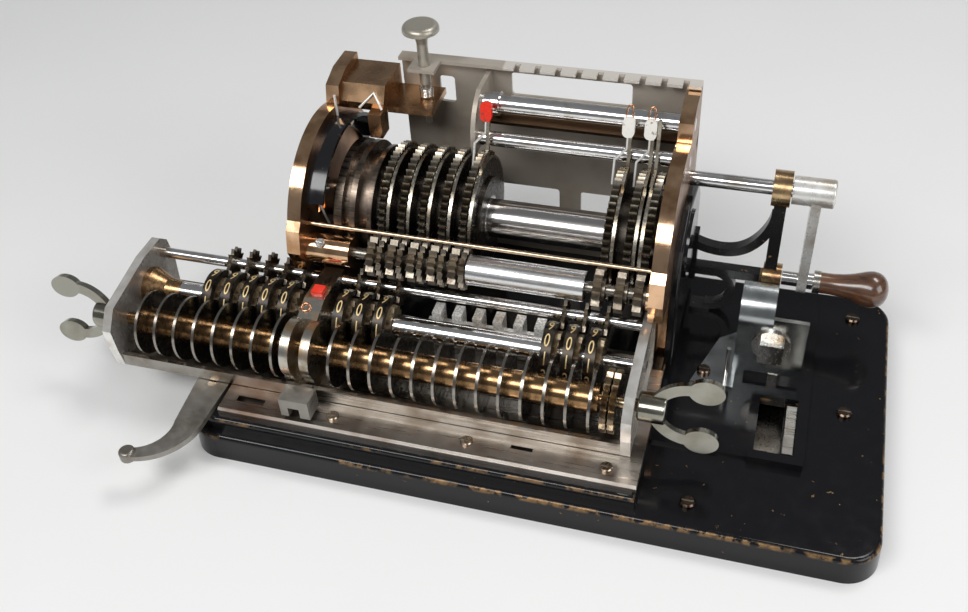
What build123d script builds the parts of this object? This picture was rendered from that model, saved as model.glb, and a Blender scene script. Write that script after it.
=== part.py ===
from build123d import *
import os
from math import cos, radians, sin

# Uncased pinwheel calculator, in millimetres.
# X runs along the machine, Y to its back, Z up. The origin is the middle of the base's underside.

# Driving dimensions -----------------------------------------------------------------------------

REGISTER_PITCH = 9.0        # from one digit place to the next, along X
SEAT = 0.05                 # running fit between a shaft and its hole, on the radius
GAP = 0.3                   # side gap between parts that move past each other

BASE_LENGTH = 285.0
BASE_DEPTH = 150.0
BASE_CORNER = 14.0
BASE_WALL = 4.0
BASE_DRAFT = 3.0            # slope of the base's sides, in degrees
BACK_SETBACK = 5.0          # from the base's back edge to the back plate
DECK_Z = 13.0               # the low deck at the right
LAND_Z = 19.0               # the raised land under the mechanism
LAND_END_X = 50.0
LAND_FRONT_SETBACK = 5.0
PANEL_RISE = 1.5            # the thin raised panel on the low deck
PANEL_FRONT_Y = -34.5
PANEL_END_X = 111.0
BOTTOM_PLATE_T = 1.2

RAIL_T = 3.0                # the plate that the carriage slides on
RAIL_START_X = -128.0
RAIL_FRONT_Y = -66.5
RAIL_BACK_Y = -2.0

CHEEK_T = 6.0
LEFT_CHEEK_X = -110.0       # outer face of the left cheek
RIGHT_CHEEK_X = 43.0        # inner face of the right cheek
CHEEK_FOOT_FRONT_Y = 5.0
CHEEK_SETBACK = 2.0         # from the back plate to the cheeks' back edge
CHEEK_RIM_R = 43.0

DRUM_AXIS = (31.0, 65.5)    # Y and Z of the rotor
MODULE = 1.0
RING_TEETH = 56
RING_W = 3.0
PINION_TEETH = 16
PINION_W = 3.4
ADDENDUM = 0.9
DEDENDUM = 1.3
FIRST_RING_X = -74.0
LEFT_RINGS = 5
RIGHT_RING_XS = (22.0, 31.0, 38.5)
HUB_R = 18.0
ROTOR_R = 8.4

GEAR_TEETH = 14             # rotor, idler and crank wheel are alike, so the crank turns the rotor one to one
GEAR_W = 2.0
CRANK_ANGLE = 44.0          # direction from the rotor to the crank shaft, in degrees above +Y
CRANK_SHAFT_R = 3.2
CRANK_ARM = 47.0
CRANK_HUB_X = 91.0
CRANK_HUB_END_X = 108.0
ARM_X = 99.0
ARM_T = 4.0
GRIP_START_X = 108.5
GRIP_END_X = 137.0
GRIP_R = 8.0

LEVER_T = 1.4
LEVER_ANGLE = 74.0          # where a setting lever stands at zero, in degrees above +Y
LEVER_TIP_R = 52.0
LEVER_RIM_R = 26.8

PINION_SHAFT_R = 2.4
TUBE_R = 6.3
TUBE_START_X = -32.5
TUBE_END_X = 16.5

BACK_PLATE_T = 1.5
BACK_PLATE_START_X = -83.0
BACK_PLATE_TOP_Z = 118.0
COMB_DEPTH = 4.2
COMB_SLOTS = 9
COMB_SLOT_W = 2.6

UPPER_ROD = (54.0, 109.0)
UPPER_ROD_R = 4.0
LOWER_ROD = (45.0, 97.0)
LOWER_ROD_R = 3.2

LEFT_END_ROOM = 11.5        # from the last left disc to the carriage's left end
CARRIAGE_END_X = 41.0
BED_FRONT_Y = -52.0
BED_BACK_Y = 1.0
BED_T = 2.0
BED_LIP = 6.0
BED_CLEAR = 0.3             # from the rail plate up to the bed
END_PLATE_T = 4.0

FRONT_SHAFT = (-39.4, 38.8) # Y and Z of the clearing shafts
FRONT_SHAFT_R = 2.6
SPACER_R = 6.0
DISC_R = 14.0
DISC_T = 1.2
RIGHT_DISCS = 13
LEFT_DISCS = 8
FIRST_RIGHT_DISC_X = -80.0
LAST_LEFT_DISC_X = -105.5

NUMBER_AXIS = (-19.0, 40.0) # Y and Z of the number wheels
NUMBER_SHAFT_R = 2.4
NUMBER_R = 12.4
NUMBER_BAND = 4.4
NUMBER_TEETH = 16
NUMBER_GEAR_W = 1.8
RIGHT_NUMBER_SET = 3        # number wheels left at each end of the right register
LEFT_NUMBER_PLACES = 5
REGISTER_TUBE_R = 5.2       # sleeve on the number shaft where wheels were taken out

TRANSFER_TEETH = 13
TRANSFER_W = 1.4
TRANSFER_ANGLE = 32.0       # direction from a number wheel to its transfer wheel
REAR_SHAFT_R = 2.4

BEARING_END_X = -84.0       # right face of the bronze bearing bar
BEARING_FOOT_X = -90.0
HANGER_X = -43.3            # left face of the curved arm that holds the left ends of the tie rods
HANGER_T = 2.0
SHELF_BOTTOM_Z = 101.0      # the shelf that guides the key
SHELF_T = 3.0

KEY_X = -69.5
KEY_SETBACK = 8.5           # from the back plate to the key
KEY_STAND = 21.0            # height of the button over the back plate
KEY_TRAVEL = 5.0
KEY_TAIL = 10.0             # how far the rod hangs below the shelf
KEY_BUTTON_R = 8.0
KEY_STEM_R = 2.4
KEY_ROD_R = 1.4

# Places worked out from the dimensions above ----------------------------------------------------

def polar(centre, radius, angle):
    """A point in the Y-Z plane."""
    return (centre[0] + radius * cos(radians(angle)), centre[1] + radius * sin(radians(angle)))


RING_R = MODULE * RING_TEETH / 2
PINION_R = MODULE * PINION_TEETH / 2
GEAR_R = MODULE * GEAR_TEETH / 2
PINION_AXIS = (DRUM_AXIS[0] - RING_R - PINION_R, DRUM_AXIS[1])
IDLER_AXIS = polar(DRUM_AXIS, 2 * GEAR_R, CRANK_ANGLE)
CRANK_AXIS = polar(DRUM_AXIS, 4 * GEAR_R, CRANK_ANGLE)
GRIP_AXIS = (CRANK_AXIS[0], CRANK_AXIS[1] - CRANK_ARM)
BACK_PLATE_Y = BASE_DEPTH / 2 - BACK_SETBACK
CHEEK_BACK_Y = BACK_PLATE_Y - CHEEK_SETBACK
KEY_Y = BACK_PLATE_Y - KEY_SETBACK
KEY_TOP_Z = BACK_PLATE_TOP_Z + KEY_STAND
SHELF_TOP_Z = SHELF_BOTTOM_Z + SHELF_T
LEFT_CHEEK_IN = LEFT_CHEEK_X + CHEEK_T
RIGHT_CHEEK_OUT = RIGHT_CHEEK_X + CHEEK_T
RAIL_TOP_Z = LAND_Z + RAIL_T
BED_Z = RAIL_TOP_Z + BED_CLEAR
BED_TOP_Z = BED_Z + BED_T
TRANSFER_REACH = MODULE * ((NUMBER_TEETH + TRANSFER_TEETH) / 2 + 2 * ADDENDUM) + GAP
REAR_SHAFT = polar(NUMBER_AXIS, TRANSFER_REACH, TRANSFER_ANGLE)
LEFT_RING_XS = [FIRST_RING_X + i * REGISTER_PITCH for i in range(LEFT_RINGS)]
RING_XS = LEFT_RING_XS + list(RIGHT_RING_XS)
TRAIN_X = RING_XS[-1] + RING_W / 2 + GAP
RIGHT_DISC_XS = [FIRST_RIGHT_DISC_X + i * REGISTER_PITCH for i in range(RIGHT_DISCS)]
LEFT_DISC_XS = [LAST_LEFT_DISC_X - i * REGISTER_PITCH for i in range(LEFT_DISCS)]
CARRIAGE_START_X = LEFT_DISC_XS[-1] - LEFT_END_ROOM
NUMBER_OFFSET = DISC_T / 2 + GAP + NUMBER_GEAR_W + NUMBER_BAND
NUMBERED_DISC_XS = RIGHT_DISC_XS[:RIGHT_NUMBER_SET] + RIGHT_DISC_XS[-RIGHT_NUMBER_SET:]
EMPTY_DISC_XS = RIGHT_DISC_XS[RIGHT_NUMBER_SET:-RIGHT_NUMBER_SET]
RIGHT_NUMBER_XS = [x - NUMBER_OFFSET for x in NUMBERED_DISC_XS]
LEFT_NUMBER_XS = [LEFT_DISC_XS[i] - NUMBER_OFFSET for i in range(LEFT_NUMBER_PLACES)]

os.makedirs("parts", exist_ok=True)


# Shapes that many parts share -------------------------------------------------------------------

def side(x):
    """A sketch plane that faces +X at x; its own axes are Y and Z."""
    return Plane(origin=(x, 0, 0), x_dir=(0, 1, 0), z_dir=(1, 0, 0))


def slab(profile, x_start, x_end):
    """A Y-Z outline carried from x_start to x_end."""
    return extrude(side(x_start) * profile, amount=x_end - x_start)


def disc(radius, centre):
    return Pos(centre[0], centre[1]) * Circle(radius)


def bar(radius, x_start, x_end, centre):
    """A round bar along X."""
    return slab(disc(radius, centre), x_start, x_end)


def ring(outer, inner, x_start, x_end, centre):
    """A washer, collar or sleeve along X."""
    return slab(disc(outer, centre) - disc(inner, centre), x_start, x_end)


def block(x_start, x_end, y_start, y_end, z_start, z_end):
    size = (x_end - x_start, y_end - y_start, z_end - z_start)
    middle = Pos((x_start + x_end) / 2, (y_start + y_end) / 2, (z_start + z_end) / 2)
    return middle * Box(*size)


def polygon(*points):
    return make_face(Polyline(*points, close=True))


def toothed(teeth, first_tooth):
    """A spur wheel's outline, with one tooth at first_tooth degrees."""
    pitch = 360 / teeth
    pitch_r = MODULE * teeth / 2
    points = []
    for i in range(teeth):
        for radius, share in ((pitch_r + ADDENDUM * MODULE, 0.0), (pitch_r - DEDENDUM * MODULE, 0.5)):
            angle = radians(first_tooth + (i + share) * pitch)
            points.append((radius * cos(angle), radius * sin(angle)))
    return polygon(*points)


def wheel(teeth, first_tooth, bore, x_start, x_end, centre):
    """A toothed wheel with a round bore."""
    outline = Pos(centre[0], centre[1]) * (toothed(teeth, first_tooth) - Circle(bore))
    return slab(outline, x_start, x_end)


def screw(head_r, head_h, shank_r, shank_l, place, axis):
    """A round-headed screw, its head standing out along the axis from place."""
    seat = Plane(origin=place, z_dir=axis)
    head = extrude(seat * Circle(head_r), amount=head_h)
    head = chamfer(head.faces().sort_by(Axis(place, axis))[-1].edges(), head_h * 0.3)
    return head + extrude(seat * Circle(shank_r), amount=-shank_l)


def drill(radius, depth, place, axis):
    """The hole for a screw, from place against the axis."""
    return extrude(Plane(origin=place, z_dir=axis) * Circle(radius), amount=-depth)


# Base --------------------------------------------------------------------------------------------

DECK_SCREWS = ((125.0, -1.0), (69.5, -62.0), (126.0, 58.0))
DECK_SCREW_R = 1.5
SCREW_DEPTH = 2.5
SLOT_X = (91.0, 106.5)
SLOT_Y = (-30.0, 1.0)


def base_casting():
    """Black cast tray: a low deck at the right and a raised land that carries the mechanism."""
    outline = RectangleRounded(BASE_LENGTH, BASE_DEPTH, BASE_CORNER)
    body = extrude(outline, amount=DECK_Z, taper=BASE_DRAFT)
    body = fillet(body.faces().sort_by(Axis.Z)[-1].edges(), 2.0)
    inset = LAND_Z * sin(radians(BASE_DRAFT))
    land_start = -BASE_LENGTH / 2 + inset
    land = block(land_start, LAND_END_X, -BASE_DEPTH / 2 + LAND_FRONT_SETBACK,
                 BASE_DEPTH / 2 - inset, BASE_WALL, LAND_Z)
    land = fillet(land.edges().filter_by(Axis.Z).sort_by(Axis.X)[:2], BASE_CORNER - inset)
    land = fillet(land.faces().sort_by(Axis.Z)[-1].edges(), 1.5)
    panel = block(LAND_END_X, PANEL_END_X, PANEL_FRONT_Y, BASE_DEPTH / 2 - 8, DECK_Z - 1, DECK_Z + PANEL_RISE)
    panel = fillet(panel.edges().filter_by(Axis.Z).sort_by(Axis.X)[-2:], 4.0)
    lip = block(SLOT_X[0] - 2, SLOT_X[1] + 4, PANEL_FRONT_Y - 1.5, PANEL_FRONT_Y + 2.5, DECK_Z - 1, DECK_Z + 3.5)
    body = body + land + panel + lip
    inner_l = BASE_LENGTH - 2 * BASE_WALL - 2
    inner_d = BASE_DEPTH - 2 * BASE_WALL - 2
    body -= extrude(RectangleRounded(inner_l, inner_d, BASE_CORNER - BASE_WALL), amount=DECK_Z - BASE_WALL)
    land_hollow = block(-inner_l / 2 + BASE_CORNER, LAND_END_X - BASE_WALL, -inner_d / 2 + 8, inner_d / 2 - 8,
                        DECK_Z - BASE_WALL - 1, LAND_Z - BASE_WALL)
    body -= land_hollow
    rebate_l = BASE_LENGTH - 2 * BASE_WALL + 2
    rebate_d = BASE_DEPTH - 2 * BASE_WALL + 2
    body -= extrude(RectangleRounded(rebate_l, rebate_d, BASE_CORNER - BASE_WALL + 2), amount=BOTTOM_PLATE_T)
    body -= block(SLOT_X[0], SLOT_X[1], SLOT_Y[0], SLOT_Y[1], BOTTOM_PLATE_T, DECK_Z + 5)
    body += block(SLOT_X[1] - LOCK_SLIDE_W - 1, SLOT_X[1] + 2, SLOT_Y[0] - 2, SLOT_Y[1] + 2,
                  LOCK_SLIDE_Z - GAP - 2.0, LOCK_SLIDE_Z - GAP)
    body += block(SLOT_X[1] + 0.2, SLOT_X[1] + 2, SLOT_Y[0] - 2, SLOT_Y[1] + 2,
                  LOCK_SLIDE_Z - GAP - 2.0, DECK_Z - BASE_WALL + 0.5)
    body -= drill(LOCK_SCREW_R + SEAT, SCREW_DEPTH, (*LOCK_SCREW, DECK_Z + PANEL_RISE), (0, 0, 1))
    for x, y in DECK_SCREWS:
        body -= drill(DECK_SCREW_R + SEAT, SCREW_DEPTH + 0.2, (x, y, DECK_Z), (0, 0, 1))
    for x, y in RAIL_SCREWS:
        body -= drill(RAIL_SCREW_R + SEAT, SCREW_DEPTH, (x, y, LAND_Z), (0, 0, 1))
    return body


def bottom_plate():
    """Sheet that closes the tray from below, flush with its rim."""
    length = BASE_LENGTH - 2 * BASE_WALL + 2 - 2 * SEAT
    depth = BASE_DEPTH - 2 * BASE_WALL + 2 - 2 * SEAT
    return extrude(RectangleRounded(length, depth, BASE_CORNER - BASE_WALL + 2), amount=BOTTOM_PLATE_T)


def deck_screws():
    return [screw(3.0, 2.0, DECK_SCREW_R, SCREW_DEPTH, (x, y, DECK_Z), (0, 0, 1)) for x, y in DECK_SCREWS]


# Rail --------------------------------------------------------------------------------------------

RAIL_SCREWS = ((-78.0, -59.5), (-20.0, -59.5), (37.0, -59.5))
RAIL_SCREW_R = 1.4
RAIL_SLOT = (-122.0, -109.5)
RAIL_WINDOW = (-2.0, 7.0)


def rail_plate():
    """Steel plate on the land; its front strip has the slots that the carriage latch drops into."""
    plate = block(RAIL_START_X, LAND_END_X, RAIL_FRONT_Y, RAIL_BACK_Y, LAND_Z, RAIL_TOP_Z)
    plate = chamfer(plate.faces().sort_by(Axis.Z)[-1].edges().sort_by(Axis.Y)[:1], 1.0)
    plate -= block(RAIL_SLOT[0], RAIL_SLOT[1], -60.5, -57.5, LAND_Z, RAIL_TOP_Z)
    plate -= block(RAIL_WINDOW[0], RAIL_WINDOW[1], -58.6, -56.8, LAND_Z, RAIL_TOP_Z)
    for x, y in RAIL_SCREWS:
        plate -= drill(RAIL_SCREW_R + SEAT, RAIL_T, (x, y, RAIL_TOP_Z), (0, 0, 1))
    return plate


def rail_screws():
    return [screw(2.6, 1.3, RAIL_SCREW_R, RAIL_T + SCREW_DEPTH - 0.3, (x, y, RAIL_TOP_Z), (0, 0, 1))
            for x, y in RAIL_SCREWS]


# Cheeks and what ties them -----------------------------------------------------------------------

def cheek_profile():
    """The outline both cheeks share: a rim round the rotor, a pinion boss, an arm for the rods."""
    rim = disc(CHEEK_RIM_R, DRUM_AXIS)
    legs = polygon((CHEEK_FOOT_FRONT_Y, LAND_Z), (CHEEK_BACK_Y, LAND_Z), (CHEEK_BACK_Y, 62.0),
                   (58.0, 84.0), (CHEEK_FOOT_FRONT_Y - 2, 62.0))
    nose = polygon((2.0, 56.0), (PINION_AXIS[0] - 6, 60.0), (PINION_AXIS[0] - 9.5, 68.0),
                   (PINION_AXIS[0] - 7, 78.0), (8.0, 100.0), (20.0, 80.0))
    arm = polygon((40.0, 90.0), (46.0, 114.0), (56.0, 117.5), (BACK_PLATE_Y, 117.5), (BACK_PLATE_Y, 98.0), (62.0, 92.0))
    clear_of_carriage = polygon((-40.0, 0.0), (CHEEK_FOOT_FRONT_Y, 0.0), (CHEEK_FOOT_FRONT_Y, 57.0),
                                (-14.0, 57.0), (-40.0, 80.0))
    below = polygon((-60.0, LAND_Z), (120.0, LAND_Z), (120.0, -20.0), (-60.0, -20.0))
    behind = polygon((BACK_PLATE_Y, 0.0), (BACK_PLATE_Y + 60, 0.0), (BACK_PLATE_Y + 60, 150.0), (BACK_PLATE_Y, 150.0))
    return rim + legs + nose + arm - clear_of_carriage - below - behind


def cheek(x_start, windows, holes):
    """A cheek, its outer edges eased, with its windows and shaft holes."""
    plate = slab(cheek_profile(), x_start, x_start + CHEEK_T)
    for window in windows:
        plate -= slab(window, x_start, x_start + CHEEK_T)
    for radius, centre in holes:
        plate -= bar(radius + SEAT, x_start, x_start + CHEEK_T, centre)
    return plate


def left_cheek():
    """Bronze cheek at the left, with the boss of the pinion shaft on its inner face."""
    slot = polygon((8.0, 74.0), (14.0, 86.0), (20.0, 83.0), (14.0, 72.0))
    holes = ((ROTOR_JOURNAL_R, DRUM_AXIS), (PINION_SHAFT_R, PINION_AXIS))
    plate = cheek(LEFT_CHEEK_X, (slot,), holes)
    boss = ring(PINION_BOSS_R, PINION_SHAFT_R + SEAT, LEFT_CHEEK_IN, PINION_BOSS_END_X, PINION_AXIS)
    plate += boss
    for y, z in GUARD_SCREWS:
        plate -= drill(GUARD_SCREW_R + SEAT, CHEEK_T, (LEFT_CHEEK_IN, y, z), (1, 0, 0))
    return plate


def right_cheek():
    """Bronze cheek at the right; the crank shaft passes through it."""
    holes = ((ROTOR_JOURNAL_R, DRUM_AXIS), (PINION_SHAFT_R, PINION_AXIS), (CRANK_SHAFT_R, CRANK_AXIS),
             (UPPER_ROD_R - UPPER_NECK_STEP, UPPER_ROD), (LOWER_ROD_R - LOWER_NECK_STEP, LOWER_ROD))
    plate = cheek(RIGHT_CHEEK_X, (), holes)
    plate += ring(6.0, PINION_SHAFT_R + SEAT, RIGHT_CHEEK_X - 1.3, RIGHT_CHEEK_X, PINION_AXIS)
    return plate + bar(IDLER_STUD_R, TRAIN_X, RIGHT_CHEEK_X, IDLER_AXIS)


ROTOR_JOURNAL_R = 4.2
IDLER_STUD_R = 2.4
PINION_BOSS_R = 6.4
PINION_BOSS_END_X = -84.0
GUARD_R = 39.0
GUARD_SCREWS = (polar(DRUM_AXIS, 34.8, 132.0), polar(DRUM_AXIS, 34.8, 60.0))
GUARD_SCREW_R = 1.3


def end_guard():
    """Black hood inside the left cheek, over the end of the rotor."""
    sector = polygon(DRUM_AXIS, polar(DRUM_AXIS, 70.0, 15.0), polar(DRUM_AXIS, 70.0, 80.0),
                     polar(DRUM_AXIS, 70.0, 148.0))
    rim = (disc(GUARD_R, DRUM_AXIS) - disc(GUARD_R - 1.6, DRUM_AXIS)) & sector
    flange = (disc(GUARD_R, DRUM_AXIS) - disc(32.0, DRUM_AXIS)) & sector
    guard = slab(rim, LEFT_CHEEK_IN, LEFT_CHEEK_IN + 8.0) + slab(flange, LEFT_CHEEK_IN, LEFT_CHEEK_IN + 1.6)
    for y, z in GUARD_SCREWS:
        guard -= drill(GUARD_SCREW_R + SEAT, 10.0, (LEFT_CHEEK_IN + 9, y, z), (1, 0, 0))
    return guard


def guard_screws():
    place_x = LEFT_CHEEK_IN + 1.6
    return [screw(2.4, 1.3, GUARD_SCREW_R, 4.0, (place_x, y, z), (1, 0, 0)) for y, z in GUARD_SCREWS]


def bearing_bar():
    """Bronze bar from the left cheek to the back plate; its shelf guides the key."""
    outline = polygon((46.0, 107.0), (47.0, 103.0), (UPPER_ROD[0] + 2, 100.5), (BACK_PLATE_Y, 100.5),
                      (BACK_PLATE_Y, 114.0), (50.0, 114.0))
    bar_body = slab(outline, LEFT_CHEEK_IN, BEARING_END_X)
    foot_outline = polygon((41.0, 104.5), (41.0, 93.0), (49.0, 93.0), (50.0, 104.5))
    foot = slab(foot_outline, BEARING_FOOT_X, BEARING_END_X)
    shelf = block(BEARING_END_X, KEY_X + 6.0, 50.0, BACK_PLATE_Y, SHELF_BOTTOM_Z, SHELF_TOP_Z)
    shelf -= drill(KEY_ROD_R + 0.1, SHELF_T, (KEY_X, KEY_Y, SHELF_TOP_Z), (0, 0, 1))
    return bar_body + foot + shelf


def back_plate():
    """Nickel-silver sheet at the back, its top bent forward into the comb of the setting levers."""
    plate = block(BACK_PLATE_START_X, RIGHT_CHEEK_OUT, BACK_PLATE_Y, BACK_PLATE_Y + BACK_PLATE_T,
                  LAND_Z, BACK_PLATE_TOP_Z)
    flange = block(BACK_PLATE_START_X, RIGHT_CHEEK_OUT, BACK_PLATE_Y - COMB_DEPTH, BACK_PLATE_Y,
                   BACK_PLATE_TOP_Z, BACK_PLATE_TOP_Z + BACK_PLATE_T)
    flange += block(BACK_PLATE_START_X, RIGHT_CHEEK_OUT, BACK_PLATE_Y, BACK_PLATE_Y + BACK_PLATE_T,
                    BACK_PLATE_TOP_Z, BACK_PLATE_TOP_Z + BACK_PLATE_T)
    for i in range(COMB_SLOTS):
        x = RIGHT_CHEEK_OUT - 4.0 - (i + 0.5) * REGISTER_PITCH + 2.0
        flange -= block(x - COMB_SLOT_W / 2, x + COMB_SLOT_W / 2, BACK_PLATE_Y - COMB_DEPTH, BACK_PLATE_Y,
                        BACK_PLATE_TOP_Z, BACK_PLATE_TOP_Z + BACK_PLATE_T)
    guide = block(KEY_X - 6, KEY_X + 6, KEY_Y - 5, BACK_PLATE_Y - COMB_DEPTH, BACK_PLATE_TOP_Z,
                  BACK_PLATE_TOP_Z + BACK_PLATE_T)
    plate = plate + flange + guide + rod_hanger()
    plate -= drill(KEY_STEM_R + 0.1, BACK_PLATE_T, (KEY_X, KEY_Y, BACK_PLATE_TOP_Z + BACK_PLATE_T), (0, 0, 1))
    for x_start, x_end, z_start, z_end in BACK_WINDOWS:
        window = block(x_start, x_end, BACK_PLATE_Y, BACK_PLATE_Y + BACK_PLATE_T, z_start, z_end)
        plate -= fillet(window.edges().filter_by(Axis.Y), 1.5)
    return plate


def rod_hanger():
    """Curved arm that reaches forward from the back plate and holds the left ends of both rods."""
    lower = ThreePointArc((BACK_PLATE_Y, 104.0), (58.0, 100.5), (LOWER_ROD[0] + 2.5, LOWER_ROD[1] - 6.0))
    front = ThreePointArc((LOWER_ROD[0] - 4.5, LOWER_ROD[1] - 6.0), (LOWER_ROD[0] - 3.0, 107.0), (52.0, 116.0))
    outline = lower + Polyline((LOWER_ROD[0] + 2.5, LOWER_ROD[1] - 6.0), (LOWER_ROD[0] - 4.5, LOWER_ROD[1] - 6.0))
    outline += front + Polyline((52.0, 116.0), (BACK_PLATE_Y, 116.0), (BACK_PLATE_Y, 104.0))
    arm = slab(make_face(outline), HANGER_X, HANGER_X + HANGER_T)
    arm -= bar(UPPER_ROD_R - UPPER_NECK_STEP + SEAT, HANGER_X, HANGER_X + HANGER_T, UPPER_ROD)
    return arm - bar(LOWER_ROD_R - LOWER_NECK_STEP + SEAT, HANGER_X, HANGER_X + HANGER_T, LOWER_ROD)


BACK_WINDOWS = (
    (-33.0, 20.0, 104.0, 115.0),
    (-66.0, -59.0, 97.0, 110.0),
    (-40.0, -12.0, 32.0, 56.0),
    (-2.0, 20.0, 32.0, 56.0),
)


def stepped_rod(radius, neck, centre):
    """A tie rod with a thinner neck at each end."""
    rod = bar(radius, HANGER_X + HANGER_T, RIGHT_CHEEK_X, centre)
    rod += bar(neck, HANGER_X, HANGER_X + HANGER_T, centre)
    return rod + bar(neck, RIGHT_CHEEK_X, RIGHT_CHEEK_OUT, centre)


ROD_COLLAR_X = (-37.0, -33.5)
UPPER_NECK_STEP = 1.2
LOWER_NECK_STEP = 1.0


def upper_rod():
    rod = stepped_rod(UPPER_ROD_R, UPPER_ROD_R - UPPER_NECK_STEP, UPPER_ROD)
    return rod + ring(UPPER_ROD_R + 1.2, UPPER_ROD_R - 1, *ROD_COLLAR_X, UPPER_ROD)


def lower_rod():
    return stepped_rod(LOWER_ROD_R, LOWER_ROD_R - LOWER_NECK_STEP, LOWER_ROD)


def rod_bar():
    outline = polygon((53.0, 100.5), (58.5, 103.5), (59.5, 101.5), (54.0, 98.5))
    return slab(outline, HANGER_X + HANGER_T, RIGHT_CHEEK_X)


def tie_rods():
    """Both polished tie rods, the flat bar between them and the thin wire over the pinions."""
    return [upper_rod(), lower_rod(), rod_bar(), guard_wire()]


def guard_wire():
    centre = (PINION_AXIS[0] + 1.0, PINION_AXIS[1] + PINION_R + 4.0)
    return bar(0.9, LEFT_CHEEK_IN + 0.05, RIGHT_CHEEK_X - 0.05, centre)


def side_cover():
    """Black casting outside the right cheek, which the crank bracket bolts to."""
    outline = polygon((CHEEK_FOOT_FRONT_Y, LAND_Z), (CHEEK_BACK_Y, LAND_Z), (CHEEK_BACK_Y, 66.0),
                      (60.0, 77.0), (30.0, 84.0), (12.0, 76.0), (8.0, 50.0))
    cover = slab(outline, RIGHT_CHEEK_OUT, RIGHT_CHEEK_OUT + 3.5)
    cover = fillet(cover.faces().sort_by(Axis.X)[-1].edges(), 1.2)
    raised = slab(disc(15.0, DRUM_AXIS), RIGHT_CHEEK_OUT + 3.5, RIGHT_CHEEK_OUT + 4.8)
    return cover + raised - bar(ROTOR_JOURNAL_R + 0.6, RIGHT_CHEEK_OUT, RIGHT_CHEEK_OUT + 1.5, DRUM_AXIS)


# Rotor -------------------------------------------------------------------------------------------

def rotor_shaft():
    """The rotor's body: polished shaft, ring hubs and stepped left end, turned in one piece."""
    left_hub_start = FIRST_RING_X - RING_W / 2
    left_hub_end = LEFT_RING_XS[-1] + 4.6
    right_hub_start = RIGHT_RING_XS[0] - RING_W / 2 - 1.0
    right_hub_end = RIGHT_RING_XS[-1] + RING_W / 2
    shaft = bar(ROTOR_JOURNAL_R, LEFT_CHEEK_X, LEFT_CHEEK_IN + GAP, DRUM_AXIS)
    shaft += bar(ROTOR_R, LEFT_CHEEK_IN + GAP, right_hub_end, DRUM_AXIS)
    shaft += bar(HUB_R, left_hub_start, left_hub_end, DRUM_AXIS)
    shaft += bar(HUB_R, right_hub_start, right_hub_end, DRUM_AXIS)
    shaft += bar(ROTOR_JOURNAL_R, right_hub_end, RIGHT_CHEEK_OUT + 1.0, DRUM_AXIS)
    for radius, x_start, x_end in ((28.0, -95.5, -92.0), (25.0, -92.0, -88.5), (28.0, -88.5, -86.0),
                                   (23.0, -86.0, -81.0), (26.5, -81.0, -79.0), (21.0, -79.0, left_hub_start)):
        shaft += bar(radius, x_start, x_end, DRUM_AXIS)
    return shaft


def drive_rings():
    """Toothed rings on the hubs, one for each digit place that is left in the machine."""
    return [wheel(RING_TEETH, 180.0, HUB_R + SEAT, x - RING_W / 2, x + RING_W / 2, DRUM_AXIS) for x in RING_XS]


def rotor_gear():
    """The wheel by which the crank turns the rotor."""
    return wheel(GEAR_TEETH, CRANK_ANGLE, ROTOR_JOURNAL_R + SEAT, TRAIN_X, TRAIN_X + GEAR_W, DRUM_AXIS)


def idler_gear():
    """Wheel between the crank's and the rotor's, on a stud of the right cheek."""
    half_pitch = 180 / GEAR_TEETH
    return wheel(GEAR_TEETH, CRANK_ANGLE + half_pitch, IDLER_STUD_R + SEAT, TRAIN_X, TRAIN_X + GEAR_W, IDLER_AXIS)


# Crank -------------------------------------------------------------------------------------------

def crank_gear():
    return wheel(GEAR_TEETH, CRANK_ANGLE + 180, CRANK_SHAFT_R + SEAT, TRAIN_X, TRAIN_X + GEAR_W, CRANK_AXIS)


def crank_shaft():
    """Long plated shaft from the crank gear out to the crank."""
    return bar(CRANK_SHAFT_R, TRAIN_X, CRANK_HUB_END_X - 1.5, CRANK_AXIS)


def crank_arm():
    """Crank hub, flat arm and the boss at its lower end."""
    hub = bar(6.0, CRANK_HUB_X, CRANK_HUB_END_X, CRANK_AXIS)
    hub = fillet(hub.edges().sort_by(Axis.X)[-1:], 1.0)
    y, z = CRANK_AXIS
    arm = block(ARM_X, ARM_X + ARM_T, y - 5.5, y + 5.5, GRIP_AXIS[1], z)
    arm += bar(5.5, ARM_X, ARM_X + ARM_T, GRIP_AXIS)
    body = hub + arm
    body -= bar(CRANK_SHAFT_R + SEAT, CRANK_HUB_X, CRANK_HUB_END_X - 1.5, CRANK_AXIS)
    return body - bar(GRIP_PIN_R + SEAT, ARM_X, ARM_X + ARM_T, GRIP_AXIS)


GRIP_PIN_R = 2.2
PIN_TIP_X = CRANK_HUB_X + 1.3
COLUMN_X = CRANK_HUB_X - 4.0        # middle of the bracket's column
COLUMN_W = 5.0
HUB_GAP = 0.5
BRACKET_BOSS_W = 7.5


def crank_pin():
    """Pin that the grip turns on; its inner end stands before the bracket's lower boss at home."""
    pin = bar(GRIP_PIN_R, PIN_TIP_X, GRIP_END_X - 6, GRIP_AXIS)
    collar = bar(3.6, ARM_X + ARM_T, GRIP_START_X - 3.0, GRIP_AXIS)
    tip = bar(3.2, PIN_TIP_X, ARM_X, GRIP_AXIS)
    return pin + collar + tip


def grip_profile():
    """Half outline of the grip: a slim neck that swells into a bulb."""
    start = GRIP_START_X
    outline = Polyline((start, 0), (start, 4.6))
    neck = Spline((start, 4.6), (start + 8, 4.9), (start + 15, 6.4), (start + 21.5, GRIP_R), (GRIP_END_X, 0),
                  tangents=((1, 0), (0, -1)))
    return make_face(outline + neck + Line((GRIP_END_X, 0), (start, 0)))


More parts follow.
